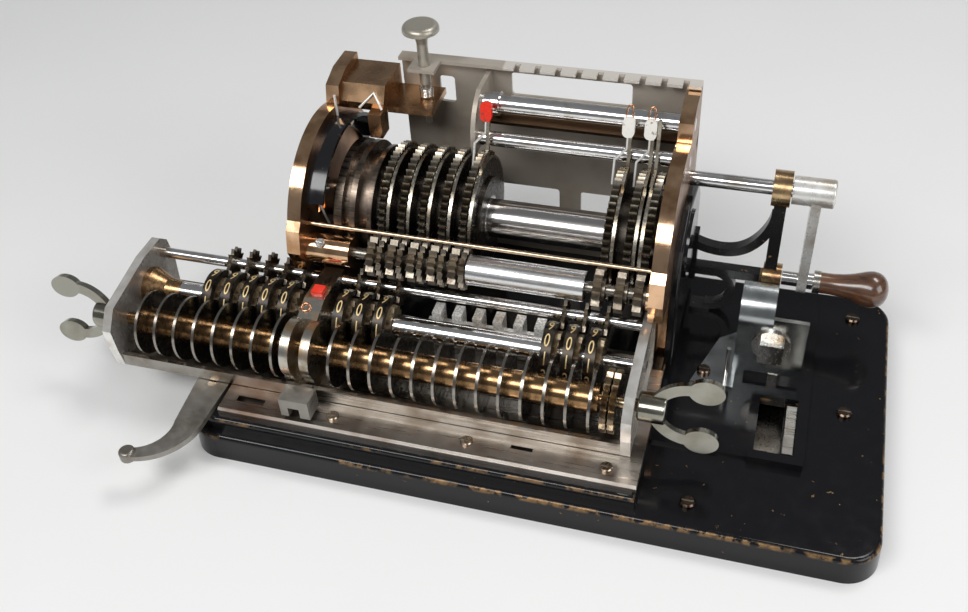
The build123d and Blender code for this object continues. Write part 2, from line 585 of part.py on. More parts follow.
def crank_grip():
    """Turned wooden grip."""
    y, z = GRIP_AXIS
    turned = revolve(grip_profile(), Axis.X)
    grip = Pos(0, y, z) * turned
    return grip - bar(GRIP_PIN_R + 0.1, GRIP_START_X, GRIP_END_X - 5.8, GRIP_AXIS)


def grip_ferrule():
    """Bright ferrule at the grip's neck."""
    return ring(5.0, GRIP_PIN_R + 0.1, GRIP_START_X - 2.8, GRIP_START_X, GRIP_AXIS)


def crank_bracket():
    """Black cast outrigger: two arms from the side cover, a column, both bearing bosses and a curled foot."""
    y, z = CRANK_AXIS
    start = RIGHT_CHEEK_OUT + 3.5
    plate_y = (y - 2.5, y + 2.5)
    plane = Plane(origin=(0, plate_y[1], 0), x_dir=(1, 0, 0), z_dir=(0, -1, 0))
    top_arm = [(start + 1.0, 52.0), (62.0, 49.5), (72.0, 50.5), (82.0, 60.0), (86.0, 72.0)]
    tail = [(start + 12, 37.0), (71.0, 31.0), (69.0, 21.0), (60.0, DECK_Z + PANEL_RISE + 2.6)]
    web = trace_band(top_arm, 4.0) + trace_band(tail, 3.4)
    column_end = COLUMN_X + COLUMN_W / 2
    web += Pos((start + column_end) / 2, 37.5) * Rectangle(column_end - start, 4.5)
    web += Pos(COLUMN_X, 60.0) * Rectangle(COLUMN_W, 48.0)
    flange = Pos(start + 1.25, 45.0) * Rectangle(2.5, 26.0)
    body = extrude(plane * (web + flange), amount=plate_y[1] - plate_y[0])
    boss_end = CRANK_HUB_X - HUB_GAP
    body += bar(7.6, boss_end - BRACKET_BOSS_W, boss_end, CRANK_AXIS)
    body += bar(6.0, COLUMN_X - 3.0, PIN_TIP_X - GAP, GRIP_AXIS)
    body += block(54.0, 63.0, y - 4, y + 4, DECK_Z + PANEL_RISE, DECK_Z + PANEL_RISE + 2.2)
    return body - bar(CRANK_SHAFT_R + SEAT, boss_end - BRACKET_BOSS_W, boss_end, CRANK_AXIS)


def trace_band(points, width):
    """A band of even width along a smooth curve through the points."""
    return trace(Spline(*points), width)


# Pinions -----------------------------------------------------------------------------------------

def pinion_shaft():
    """Fixed shaft of the pinions, from cheek to cheek."""
    return bar(PINION_SHAFT_R, LEFT_CHEEK_X, RIGHT_CHEEK_OUT, PINION_AXIS)


def spacer_tube():
    """Polished tube that fills the middle of the pinion shaft, where the places were taken out."""
    return ring(TUBE_R, PINION_SHAFT_R + SEAT, TUBE_START_X, TUBE_END_X, PINION_AXIS)


def pinions():
    """Transfer pinions, each a driven wheel with a thin collar and a second, locking wheel."""
    half_pitch = 180 / PINION_TEETH
    solids = []
    for x in RING_XS:
        start = x - PINION_W / 2
        gear = wheel(PINION_TEETH, half_pitch, PINION_SHAFT_R + SEAT, start, x + PINION_W / 2, PINION_AXIS)
        gear += ring(4.5, PINION_SHAFT_R + SEAT, x + PINION_W / 2, x + PINION_W / 2 + 1.2, PINION_AXIS)
        if x in LEFT_RING_XS:
            locker_start = x + PINION_W / 2 + 1.2
            gear += wheel(PINION_TEETH, 0, PINION_SHAFT_R + SEAT, locker_start, locker_start + 2.2, PINION_AXIS)
        solids.append(gear)
    return solids


# Setting levers ----------------------------------------------------------------------------------

TABBED_LEVERS = (5, 6, 7)
ARMLESS_LEVERS = (1, 2, 3, 4)


def lever_start(number):
    """Each lever lies at the right of its ring; the last one lies at the left, clear of the gear train."""
    ring_x = RING_XS[number - 1]
    if number == len(RING_XS):
        return ring_x - RING_W / 2 - GAP - LEVER_T
    return ring_x + RING_W / 2 + GAP


def setting_disc(number):
    """Thin disc beside a drive ring, its arm lost."""
    start = lever_start(number)
    return slab(disc(LEVER_RIM_R, DRUM_AXIS) - disc(HUB_R + 0.1, DRUM_AXIS), start, start + LEVER_T)


def setting_lever(number):
    """Setting disc with the arm that sets its digit."""
    start = lever_start(number)
    angle = LEVER_ANGLE
    foot = polygon(polar(DRUM_AXIS, 20, angle - 1.5), polar(DRUM_AXIS, 31.5, angle + 1),
                   polar(DRUM_AXIS, 30.6, angle + 12), polar(DRUM_AXIS, 29.8, angle + 24),
                   polar(DRUM_AXIS, 20, angle + 24))
    arm = polygon(polar(DRUM_AXIS, 30.0, angle + 0.2), polar(DRUM_AXIS, 44.0, angle + 0.6),
                  polar(DRUM_AXIS, 44.0, angle + 2.6), polar(DRUM_AXIS, 30.0, angle + 3.6))
    lever = setting_disc(number) + slab(foot + arm, start, start + LEVER_T)
    return lever + lever_tip(start, number in TABBED_LEVERS)


def lever_tip(start, with_tab):
    """The end that the finger moves: an oval tab, or the bare arm where the tab is gone."""
    angle = LEVER_ANGLE + 0.6
    if not with_tab:
        tip = polygon(polar(DRUM_AXIS, 43.8, angle), polar(DRUM_AXIS, LEVER_TIP_R, angle),
                      polar(DRUM_AXIS, LEVER_TIP_R, angle + 2.4), polar(DRUM_AXIS, 43.8, angle + 2.0))
        return slab(tip, start, start + LEVER_T)
    height = LEVER_TIP_R - TAB_ROOT_R
    y, z = polar(DRUM_AXIS, TAB_ROOT_R + height / 2, angle)
    facing = Plane(origin=(start + LEVER_T / 2 - TAB_SHIFT, y, z), x_dir=(1, 0, 0),
                   z_dir=(0, sin(radians(angle)), -cos(radians(angle))))
    return extrude(facing * RectangleRounded(TAB_W, height, TAB_W / 2 - 0.2), amount=-TAB_T)


TAB_ROOT_R = 43.4
TAB_W = 5.0
TAB_T = 2.0
TAB_SHIFT = 1.0             # the tab stands a little to the left of its lever


# Carriage ----------------------------------------------------------------------------------------

def carriage_bed():
    """Satin steel channel that carries the registers."""
    outline = polygon((BED_FRONT_Y, BED_Z), (BED_BACK_Y, BED_Z), (BED_BACK_Y, BED_Z + 5), (BED_BACK_Y - BED_T, BED_Z + 5),
                      (BED_BACK_Y - BED_T, BED_TOP_Z), (BED_FRONT_Y + BED_T, BED_TOP_Z),
                      (BED_FRONT_Y + BED_T, BED_Z + BED_LIP), (BED_FRONT_Y, BED_Z + BED_LIP))
    bed = slab(outline, CARRIAGE_START_X, CARRIAGE_END_X)
    bed -= block(LATCH_X - LATCH_ARM_W / 2 - GAP, LATCH_X + LATCH_ARM_W / 2 + GAP, BED_FRONT_Y, BED_FRONT_Y + 1.2,
                 BED_Z, BED_Z + BED_LIP)
    return bed


def end_plate_profile():
    """Angular end plate that holds the four carriage shafts."""
    return polygon((BED_BACK_Y, BED_Z), (BED_BACK_Y + 1.5, 40.0), (REAR_SHAFT[0] + 5.5, REAR_SHAFT[1] + 3.0),
                   (REAR_SHAFT[0] + 1.0, REAR_SHAFT[1] + 7.0), (-18.0, 56.0), (FRONT_SHAFT[0] - 8, 51.0),
                   (FRONT_SHAFT[0] - 14.5, 43.0), (FRONT_SHAFT[0] - 14.0, 32.0), (BED_FRONT_Y, BED_Z))


def end_plate(x_start, outward):
    """Plate with a raised rim and the shaft holes; outward is the side that the rim stands on."""
    profile = end_plate_profile()
    plate = slab(profile, x_start, x_start + END_PLATE_T)
    recess = offset(profile, amount=-2.6, kind=Kind.INTERSECTION)
    depth = 1.4
    if outward > 0:
        plate -= slab(recess, x_start + END_PLATE_T - depth, x_start + END_PLATE_T)
    else:
        plate -= slab(recess, x_start, x_start + depth)
    for radius, centre in ((FRONT_SHAFT_R, FRONT_SHAFT), (NUMBER_SHAFT_R, NUMBER_AXIS), (REAR_SHAFT_R, REAR_SHAFT)):
        plate -= bar(radius + SEAT, x_start, x_start + END_PLATE_T, centre)
    return plate


def end_plates():
    """Both end plates of the carriage."""
    return [end_plate(CARRIAGE_START_X - END_PLATE_T, -1), end_plate(CARRIAGE_END_X, 1)]


MIDDLE_LEFT_ROOM = 3.0      # from the last left disc to the support
MIDDLE_RIGHT_ROOM = 2.4     # from the support to the first number wheel of the right register
MIDDLE_X = (LAST_LEFT_DISC_X + MIDDLE_LEFT_ROOM, RIGHT_NUMBER_XS[0] - MIDDLE_RIGHT_ROOM)
MARKER_SEAT_Z = 53.5
MARKER_H = 2.1


def middle_support():
    """Arched bearing between the two registers."""
    y, z = FRONT_SHAFT
    arch = disc(12.6, FRONT_SHAFT) + polygon((y - 9.5, BED_TOP_Z), (y + 12.0, BED_TOP_Z), (y + 12.0, z),
                                          (y - 12.5, z), (y - 9.8, BED_Z + BED_LIP + 1))
    tower = polygon((y + 2, BED_TOP_Z), (BED_BACK_Y - 4, BED_TOP_Z), (BED_BACK_Y - 4, 44.0),
                    (REAR_SHAFT[0] + 3.5, REAR_SHAFT[1] + 3.0), (REAR_SHAFT[0] - 4.0, REAR_SHAFT[1] + 4.0),
                    (-24.0, MARKER_SEAT_Z), (y + 6, 50.0))
    above = polygon((-80.0, BED_TOP_Z), (20.0, BED_TOP_Z), (20.0, 0.0), (-80.0, 0.0))
    body = slab(arch - above, MIDDLE_X[0], MIDDLE_X[0] + 4) + slab(arch - above, MIDDLE_X[1] - 4, MIDDLE_X[1])
    body += slab(tower, MIDDLE_X[0] + 2, MIDDLE_X[1] - 2)
    web = polygon((y + 0.5, BED_TOP_Z), (y + 5, BED_TOP_Z), (y + 5, z - 6), (y + 0.5, z - 6))
    body += slab(web, *MIDDLE_X)
    body -= bar(FRONT_SHAFT_R + SEAT, MIDDLE_X[0], MIDDLE_X[1], FRONT_SHAFT)
    body -= bar(NUMBER_SHAFT_R + SEAT, MIDDLE_X[0], MIDDLE_X[1], NUMBER_AXIS)
    body -= bar(REAR_SHAFT_R + SEAT, MIDDLE_X[0], MIDDLE_X[1], REAR_SHAFT)
    marker = block(MIDDLE_X[0] + 4.5, MIDDLE_X[1] - 3.5, -22.5, -17.5, MARKER_SEAT_Z, MARKER_SEAT_Z + MARKER_H)
    return body + marker


def register_shafts():
    """Fixed shafts of the number and transfer wheels, and the sleeve where number wheels were taken out."""
    x_start = CARRIAGE_START_X - END_PLATE_T
    x_end = CARRIAGE_END_X + END_PLATE_T
    tube_start = RIGHT_NUMBER_XS[RIGHT_NUMBER_SET - 1] + NUMBER_BAND + NUMBER_GEAR_W + GAP
    tube_end = RIGHT_NUMBER_XS[RIGHT_NUMBER_SET] - GAP
    sleeve = ring(REGISTER_TUBE_R, NUMBER_SHAFT_R + SEAT, tube_start, tube_end, NUMBER_AXIS)
    end_sleeve = ring(END_SLEEVE_R, NUMBER_SHAFT_R + SEAT, LEFT_DISC_XS[-1] + REGISTER_PITCH / 2 + SEAT,
                      LEFT_NUMBER_XS[-1] - GAP, NUMBER_AXIS)
    shafts = [bar(NUMBER_SHAFT_R, x_start, x_end, NUMBER_AXIS), bar(REAR_SHAFT_R, x_start, x_end, REAR_SHAFT)]
    return shafts + [sleeve, end_sleeve]


END_SLEEVE_R = 4.4


def register_cone():
    """Bronze cone at the left of the number shaft."""
    y, z = NUMBER_AXIS
    bore = NUMBER_SHAFT_R + SEAT
    neck_r = (y - FRONT_SHAFT[0]) - DISC_R - CONE_CLEAR
    neck_x = LEFT_DISC_XS[-1] - DISC_T - CONE_CLEAR
    tip_x = LEFT_DISC_XS[-1] + REGISTER_PITCH / 2
    outline = polygon((CARRIAGE_START_X, bore), (CARRIAGE_START_X, CONE_R), (CARRIAGE_START_X + CONE_RIM_W, CONE_R),
                      (neck_x, neck_r), (tip_x, bore + 2.0), (tip_x, bore))
    return Pos(0, y, z) * revolve(outline, Axis.X)


CONE_R = 9.0
CONE_RIM_W = 2.5
CONE_CLEAR = 1.0


def number_wheel(x_start):
    """Number drum with its gear."""
    body = bar(NUMBER_R, x_start, x_start + NUMBER_BAND, NUMBER_AXIS)
    gear_start = x_start + NUMBER_BAND
    body += wheel(NUMBER_TEETH, TRANSFER_ANGLE, NUMBER_SHAFT_R + SEAT, gear_start, gear_start + NUMBER_GEAR_W, NUMBER_AXIS)
    return body - bar(NUMBER_SHAFT_R + SEAT, x_start, x_start + NUMBER_BAND, NUMBER_AXIS)


def transfer_wheels():
    """Small wheels behind the number wheels; at home they stand just out of mesh."""
    starts = [x + NUMBER_BAND + GAP for x in LEFT_NUMBER_XS + RIGHT_NUMBER_XS]
    return [wheel(TRANSFER_TEETH, 0, REAR_SHAFT_R + SEAT, x, x + TRANSFER_W, REAR_SHAFT) for x in starts]


def clearing_shaft(disc_xs, x_start, x_end):
    """Shaft with brass spacers between thin discs."""
    body = bar(FRONT_SHAFT_R, x_start, x_end, FRONT_SHAFT)
    low = min(disc_xs) - 3.0
    high = max(disc_xs) + 2.0
    body += bar(SPACER_R, low, high, FRONT_SHAFT)
    discs = [ring(DISC_R, SPACER_R + SEAT, x - DISC_T / 2, x + DISC_T / 2, FRONT_SHAFT) for x in disc_xs]
    return [body] + discs


CLEARING_GEAR_TEETH = 24
CLEARING_GEAR_XS = (32.0, 35.2)
CLEARING_GEAR_W = 2.4


def clearing_gears():
    """Brass wheels at the right end of the right clearing shaft."""
    return [wheel(CLEARING_GEAR_TEETH, 0, FRONT_SHAFT_R + SEAT, x, x + CLEARING_GEAR_W, FRONT_SHAFT)
            for x in CLEARING_GEAR_XS]


WING_HUB = 11.0
WING_HUB_R = 6.0
WING_REACH = 25.5           # from the nut's seat to the middle of a wing's leaf
WING_SPREAD = 11.2          # from the shaft to the middle of a wing's leaf
WING_T = 3.0
WING_TILT = 14.0            # how far the nut is turned from upright, in degrees
NUT_DEPTH = 9.0


def wing_nut(x_seat, outward):
    """Nickelled wing nut: a hub and two wings that flare outward into rounded leaves."""
    y, z = FRONT_SHAFT
    hub = bar(WING_HUB_R, *sorted((x_seat, x_seat + outward * WING_HUB)), FRONT_SHAFT)
    body = fillet(hub.edges(), 0.8)
    plane = Plane(origin=(0, y + WING_T / 2, 0), x_dir=(1, 0, 0), z_dir=(0, -1, 0))
    for direction in (1, -1):
        points = [(x_seat + outward * 6.0, z + direction * 3.0),
                  (x_seat + outward * 14.0, z + direction * (WING_SPREAD - 1.2)),
                  (x_seat + outward * (WING_REACH - 2.0), z + direction * WING_SPREAD)]
        leaf = Pos(x_seat + outward * WING_REACH, z + direction * WING_SPREAD) * Ellipse(7.0, 5.0)
        body += extrude(plane * (trace_band(points, 4.4) + leaf), amount=WING_T)
    body = body.rotate(Axis((0, y, z), (1, 0, 0)), -WING_TILT)
    return body - bar(FRONT_SHAFT_R + SEAT, *sorted((x_seat, x_seat + outward * NUT_DEPTH)), FRONT_SHAFT)


def carry_bar():
    """Bar behind the empty places, with the blocks of the tens carry."""
    body = block(EMPTY_DISC_XS[0], EMPTY_DISC_XS[-1], -8.5, -3.5, BED_TOP_Z, CARRY_SEAT_Z)
    for x in EMPTY_DISC_XS[:-1]:
        start = x + CARRY_OFFSET
        body += block(start, start + CARRY_W, -10.5, -3.5, CARRY_SEAT_Z, CARRY_TOP_Z)
    return body


CARRY_SEAT_Z = 34.0
CARRY_TOP_Z = 43.0
CARRY_OFFSET = 4.0
CARRY_W = 4.0


# Carriage latch and levers -----------------------------------------------------------------------

LATCH_X = -92.0
LATCH_ARM_W = 5.0


def latch():
    """Square thumb latch that slides up in a notch of the bed's front."""
    head = block(LATCH_X - 6.5, LATCH_X + 6.5, BED_FRONT_Y - 13.0, BED_FRONT_Y - 4.0, BED_Z + 1.6, BED_Z + 11.0)
    head -= block(LATCH_X - 3.0, LATCH_X + 2.0, BED_FRONT_Y - 13.0, BED_FRONT_Y - 9.0, BED_Z + 1.6, BED_Z + 6.5)
    neck = block(LATCH_X - LATCH_ARM_W / 2, LATCH_X + LATCH_ARM_W / 2, BED_FRONT_Y - 4.0, BED_FRONT_Y + 1.2 - GAP,
                 BED_Z + 1.6, BED_Z + 7.0)
    return head + neck


LEVER_PIVOT = (-137.0, -53.0)
LEVER_PLATE_T = 2.6
LEVER_PIN_R = 2.0
LEVER_HUB_R = 7.4
LEVER_KNOB_R = 3.4
LEVER_KNOB_H = 5.6


def lever_outline():
    """Broad at the pivot, then swept round to a slim tip; the pivot is the origin."""
    right = ThreePointArc((6.6, -22.0), (1.5, -37.0), (-15.6, -46.6))
    left = ThreePointArc((-16.0, -41.6), (-7.2, -35.5), (-5.4, -24.0))
    root = Polyline((-5.4, -24.0), (-LEVER_HUB_R, 0), (LEVER_HUB_R, 0), (6.6, -22.0))
    return make_face(right + Line((-15.6, -46.6), (-16.0, -41.6)) + left + root) + Circle(LEVER_HUB_R)


def carriage_lever():
    """Curved lever at the left that moves the carriage, with a turned knob at its tip."""
    middle_z = LAND_Z + 0.2 + LEVER_PLATE_T / 2
    plate = Plane.XY.offset(LAND_Z + 0.2) * (lever_outline() - Circle(LEVER_PIN_R + SEAT))
    body = Pos(*LEVER_PIVOT) * extrude(plate, amount=LEVER_PLATE_T)
    knob = extrude(Plane.XY.offset(middle_z - LEVER_KNOB_H / 2) * Circle(LEVER_KNOB_R), amount=LEVER_KNOB_H)
    knob = fillet(knob.edges(), 1.4)
    return body + Pos(LEVER_PIVOT[0] - 16.5, LEVER_PIVOT[1] - 44.2) * knob


def lever_pin():
    return drill(LEVER_PIN_R, LEVER_PLATE_T, (*LEVER_PIVOT, LAND_Z + LEVER_PLATE_T + 0.1), (0, 0, 1))


# Key ---------------------------------------------------------------------------------------------

def key_plunger():
    """Mushroom button on a stepped stem."""
    rod_end = SHELF_BOTTOM_Z - KEY_TAIL
    step = SHELF_TOP_Z + KEY_TRAVEL
    points = [(0, rod_end), (KEY_ROD_R, rod_end), (KEY_ROD_R, step), (KEY_STEM_R, step + 2),
              (KEY_STEM_R, KEY_TOP_Z - 9), (3.2, KEY_TOP_Z - 5), (KEY_BUTTON_R, KEY_TOP_Z - 3.2),
              (KEY_BUTTON_R, KEY_TOP_Z), (0, KEY_TOP_Z)]
    turned = revolve(Plane.XZ * polygon(*points), Axis.Z)
    turned = fillet(turned.edges().sort_by(Axis.Z)[-1:], 2.4)
    return Pos(KEY_X, KEY_Y, 0) * turned


# Lock group --------------------------------------------------------------------------------------

LOCK_Y = 11.0
LOCK_X = (77.5, 105.5)
LOCK_PLATE_T = 2.0
NUT_CENTRE = (92.0, 35.0)
LOCK_WING_TOP_Z = 49.0      # below the circle that the crank arm sweeps
LOCK_SCREW = (66.0, 8.0)
LOCK_SCREW_R = 1.4
LOCK_FOOT_T = 1.5
LOCK_SLIDE_W = 4.0
LOCK_SLIDE_Z = DECK_Z - 4.0


def lock_plate():
    """Bent plate standing on the deck, its top rolled back."""
    deck = DECK_Z + PANEL_RISE
    path = Polyline((LOCK_Y, deck), (LOCK_Y, 44.0))
    path += ThreePointArc((LOCK_Y, 44.0), (LOCK_Y + 3.5, 52.5), (LOCK_Y + 12, 56.0))
    roll = trace(path, LOCK_PLATE_T)
    wall = slab(roll, LOCK_X[0], LOCK_X[0] + 14.0)
    wing = block(LOCK_X[0] + 14.0, LOCK_X[1], LOCK_Y - 1, LOCK_Y + 1, deck + 4.0, LOCK_WING_TOP_Z)
    wall -= block(LOCK_X[0] + 5.0, LOCK_X[0] + 14.0, LOCK_Y - 3, LOCK_Y + 3, deck - 1, deck + 4.0)
    foot_outline = polygon((61.0, 1.0), (79.0, 1.0), (79.0, 37.0), (70.0, 30.0))
    foot = extrude(Plane.XY.offset(deck) * foot_outline, amount=LOCK_FOOT_T)
    body = wall + wing + foot
    body -= drill(LOCK_SCREW_R + SEAT, LOCK_FOOT_T, (*LOCK_SCREW, deck + LOCK_FOOT_T), (0, 0, 1))
    return body - drill(3.0 + SEAT, 8.0, (NUT_CENTRE[0], LOCK_Y - 4, NUT_CENTRE[1]), (0, -1, 0))


def lock_nut():
    face = Plane(origin=(NUT_CENTRE[0], LOCK_Y - 1, NUT_CENTRE[1]), x_dir=(1, 0, 0), z_dir=(0, -1, 0))
    body = extrude(face * Circle(8.0), amount=1.2)
    body += extrude(face.offset(1.2) * RectangleRounded(10.0, 10.0, 0.8), amount=5.0)
    return body + extrude(face * Circle(3.0), amount=-5.0)


def lock_screw():
    place = (*LOCK_SCREW, DECK_Z + PANEL_RISE + LOCK_FOOT_T)
    return screw(2.8, 1.8, LOCK_SCREW_R, LOCK_FOOT_T + SCREW_DEPTH - 0.3, place, (0, 0, 1))


def lock_lever():
    """Slide in the deck's slot that locks the crank."""
    x_end = SLOT_X[1] - GAP
    return block(x_end - LOCK_SLIDE_W, x_end, SLOT_Y[0] + 1.0, SLOT_Y[1] - 3.5, LOCK_SLIDE_Z, DECK_Z + 1.0)


def fasteners():
    """Screws of the deck, rail and hood, the lever's pin, and the square nut with its washer and bolt."""
    return deck_screws() + rail_screws() + guard_screws() + [lever_pin(), lock_screw(), lock_nut()]


# Export ------------------------------------------------------------------------------------------

def save(name, shape):
    """Write one node; a list of solids becomes one group."""
    solids = shape if isinstance(shape, list) else [shape]
    flat = [solid for item in solids for solid in item.solids()]
    export_step(Compound(children=flat) if len(flat) > 1 else flat[0], f"parts/{name}.step")


FIXED = {
    "base_casting": base_casting,
    "bottom_plate": bottom_plate,
    "rail_plate": rail_plate,
    "left_cheek": left_cheek,
    "right_cheek": right_cheek,
    "end_guard": end_guard,
    "bearing_bar": bearing_bar,
    "back_plate": back_plate,
    "tie_rods": tie_rods,
    "side_cover": side_cover,
    "crank_bracket": crank_bracket,
    "pinion_shaft": pinion_shaft,
    "spacer_tube": spacer_tube,
    "lock_plate": lock_plate,
    "fasteners": fasteners,
}

MOVING = {
    "rotor_shaft": rotor_shaft,
    "drive_rings": drive_rings,
    "rotor_gear": rotor_gear,
    "idler_gear": idler_gear,
    "crank_gear": crank_gear,
    "crank_shaft": crank_shaft,
    "crank_arm": crank_arm,
    "crank_pin": crank_pin,
    "crank_grip": crank_grip,
    "grip_ferrule": grip_ferrule,
    "pinions": pinions,
    "carriage_bed": carriage_bed,
    "end_plates": end_plates,
    "middle_support": middle_support,
    "register_shafts": register_shafts,
    "register_cone": register_cone,
    "carry_bar": carry_bar,
    "transfer_wheels": transfer_wheels,
    "carriage_latch": latch,
    "carriage_lever": carriage_lever,
    "key_plunger": key_plunger,
    "lock_lever": lock_lever,
}

for name, make in {**FIXED, **MOVING}.items():
    save(name, make())

for number in range(1, len(RING_XS) + 1):
    if number in ARMLESS_LEVERS:
        save(f"setting_disc_{number}", setting_disc(number))
    else:
        save(f"setting_lever_{number}", setting_lever(number))

SHAFT_SPLIT_X = (MIDDLE_X[0] + MIDDLE_X[1]) / 2
save("right_clearing_shaft", clearing_shaft(RIGHT_DISC_XS, SHAFT_SPLIT_X + GAP / 2,
                                            CARRIAGE_END_X + END_PLATE_T + NUT_DEPTH) + clearing_gears())
save("right_wing_nut", wing_nut(CARRIAGE_END_X + END_PLATE_T + GAP, 1))
save("left_clearing_shaft", clearing_shaft(LEFT_DISC_XS, CARRIAGE_START_X - END_PLATE_T - NUT_DEPTH,
                                           SHAFT_SPLIT_X - GAP / 2))
save("left_wing_nut", wing_nut(CARRIAGE_START_X - END_PLATE_T - GAP, -1))

for number, x in enumerate(LEFT_NUMBER_XS, start=1):
    save(f"counter_wheel_{number}", number_wheel(x))
for number, x in enumerate(RIGHT_NUMBER_XS, start=1):
    save(f"result_wheel_{number}", number_wheel(x))
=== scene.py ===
from math import cos, pi, radians, sin

import bmesh
import bpy
from mathutils import Matrix, Vector


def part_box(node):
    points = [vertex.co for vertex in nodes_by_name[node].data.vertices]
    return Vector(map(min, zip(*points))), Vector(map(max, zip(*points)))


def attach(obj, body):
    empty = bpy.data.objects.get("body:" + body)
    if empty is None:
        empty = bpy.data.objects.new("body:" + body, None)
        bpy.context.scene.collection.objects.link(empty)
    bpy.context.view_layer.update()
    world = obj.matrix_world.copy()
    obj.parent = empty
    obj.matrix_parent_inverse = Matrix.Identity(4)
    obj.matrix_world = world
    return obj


# Looks of the uncased pinwheel calculator. Everything is in metres, in the CAD model's own frame.

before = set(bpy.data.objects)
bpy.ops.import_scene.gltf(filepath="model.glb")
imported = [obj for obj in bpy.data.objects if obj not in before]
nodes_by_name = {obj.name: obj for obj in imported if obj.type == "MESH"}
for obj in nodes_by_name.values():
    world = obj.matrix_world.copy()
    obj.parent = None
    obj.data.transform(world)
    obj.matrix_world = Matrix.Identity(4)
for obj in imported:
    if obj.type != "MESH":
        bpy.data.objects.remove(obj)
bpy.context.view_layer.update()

MM = 0.001

# Places that several pieces share, as Y and Z in millimetres
DRUM_AXIS = (31.0, 65.5)
PINION_AXIS = (-5.0, 65.5)
CRANK_AXIS = (51.14, 84.95)
GRIP_AXIS = (51.14, 37.95)
FRONT_SHAFT = (-39.4, 38.8)
NUMBER_AXIS = (-19.0, 40.0)

# The photograph's camera
CAMERA_PLACE = (84.65, -332.27, 356.21)
CAMERA_AZIMUTH = 18.864
CAMERA_ELEVATION = 41.869
CAMERA_ROLL = -3.997
CAMERA_LENS = 40.73


# Node helpers ------------------------------------------------------------------------------------

class Surface:
    """One procedural material and the few kinds of node that it is built from."""

    def __init__(self, name, roughness=0.4, metallic=1.0):
        self.material = bpy.data.materials.new(name)
        self.material.use_nodes = True
        self.tree = self.material.node_tree
        self.shader = self.tree.nodes["Principled BSDF"]
        self.shader.inputs["Metallic"].default_value = metallic
        self.shader.inputs["Roughness"].default_value = roughness
        self.place = self.tree.nodes.new("ShaderNodeTexCoord").outputs["Object"]

    def node(self, kind, **values):
        made = self.tree.nodes.new(kind)
        for key, value in values.items():
            setattr(made, key, value)
        return made

    def join(self, value, socket):
        """Feed a socket from another socket, a number or a colour."""
        if isinstance(value, bpy.types.NodeSocket):
            self.tree.links.new(value, socket)
        elif isinstance(value, tuple):
            socket.default_value = (*value, 1.0) if len(socket.default_value) == 4 else value
        else:
            socket.default_value = value

    def math(self, operation, a, b=0.0):
        made = self.node("ShaderNodeMath", operation=operation)
        self.join(a, made.inputs[0])
        self.join(b, made.inputs[1])
        return made.outputs[0]

    def noise(self, scale, detail=3.0, stretch=(1.0, 1.0, 1.0)):
        mapping = self.node("ShaderNodeMapping")
        self.join(self.place, mapping.inputs["Vector"])
        mapping.inputs["Scale"].default_value = stretch
        made = self.node("ShaderNodeTexNoise")
        self.join(mapping.outputs[0], made.inputs["Vector"])
        made.inputs["Scale"].default_value = scale
        made.inputs["Detail"].default_value = detail
        return made.outputs["Fac"]

    def remap(self, value, low, high, start=0.0, end=1.0):
        made = self.node("ShaderNodeMapRange")
        for socket, number in zip(made.inputs[1:5], (low, high, start, end)):
            socket.default_value = number
        self.join(value, made.inputs[0])
        return made.outputs[0]

    def mix(self, share, a, b):
        made = self.node("ShaderNodeMix", data_type="RGBA")
        self.join(share, made.inputs[0])
        self.join(a, made.inputs[6])
        self.join(b, made.inputs[7])
        return made.outputs[2]

    def along(self, axis):
        """The part's own X, Y or Z, in metres."""
        made = self.node("ShaderNodeSeparateXYZ")
        self.join(self.place, made.inputs[0])
        return made.outputs[axis]

    def radius(self, centre):
        """Distance from a shaft that runs along X, in metres."""
        y = self.math("SUBTRACT", self.along("Y"), centre[0] * MM)
        z = self.math("SUBTRACT", self.along("Z"), centre[1] * MM)
        squares = self.math("ADD", self.math("MULTIPLY", y, y), self.math("MULTIPLY", z, z))
        return self.math("SQRT", squares)

    def sideways(self):
        """1 on faces that look along X and 0 on the edges between them."""
        made = self.node("ShaderNodeSeparateXYZ")
        self.join(self.node("ShaderNodeTexCoord").outputs["Normal"], made.inputs[0])
        return self.remap(self.math("ABSOLUTE", made.outputs[0]), 0.5, 0.8)

    def step(self, value, edge, soft=0.05):
        """0 below the edge and 1 above it, both in millimetres."""
        return self.remap(value, (edge - soft) * MM, (edge + soft) * MM)

    def colour(self, value):
        self.join(value, self.shader.inputs["Base Color"])

    def rough(self, value):
        self.join(value, self.shader.inputs["Roughness"])

    def bump(self, height, strength, depth=0.1):
        made = self.node("ShaderNodeBump")
        made.inputs["Strength"].default_value = strength
        made.inputs["Distance"].default_value = depth * MM
        self.join(height, made.inputs["Height"])
        self.join(made.outputs[0], self.shader.inputs["Normal"])


# Materials ---------------------------------------------------------------------------------------

LENGTHWISE = (0.03, 1.0, 1.0)      # grain that runs along X


def stained(surface, base, stain, amount=0.5, size=70.0):
    """Base colour with soft stains of another one."""
    share = surface.remap(surface.noise(size, 6.0), 0.62 - amount * 0.3, 0.72)
    return surface.mix(share, base, stain)


def metal(name, base, stain, roughness, stretch=(1.0, 1.0, 1.0), amount=0.5, grain=0.15,
          metallic=1.0, size=900.0):
    """A worn metal: stains, grain and an uneven gloss. The size is the number of grains in a metre."""
    surface = Surface(name, metallic=metallic)
    surface.colour(stained(surface, base, stain, amount))
    fine = surface.noise(size, 4.0, stretch)
    surface.rough(surface.remap(fine, 0.3, 0.7, roughness * 0.75, roughness * 1.35))
    surface.bump(fine, grain)
    return surface.material


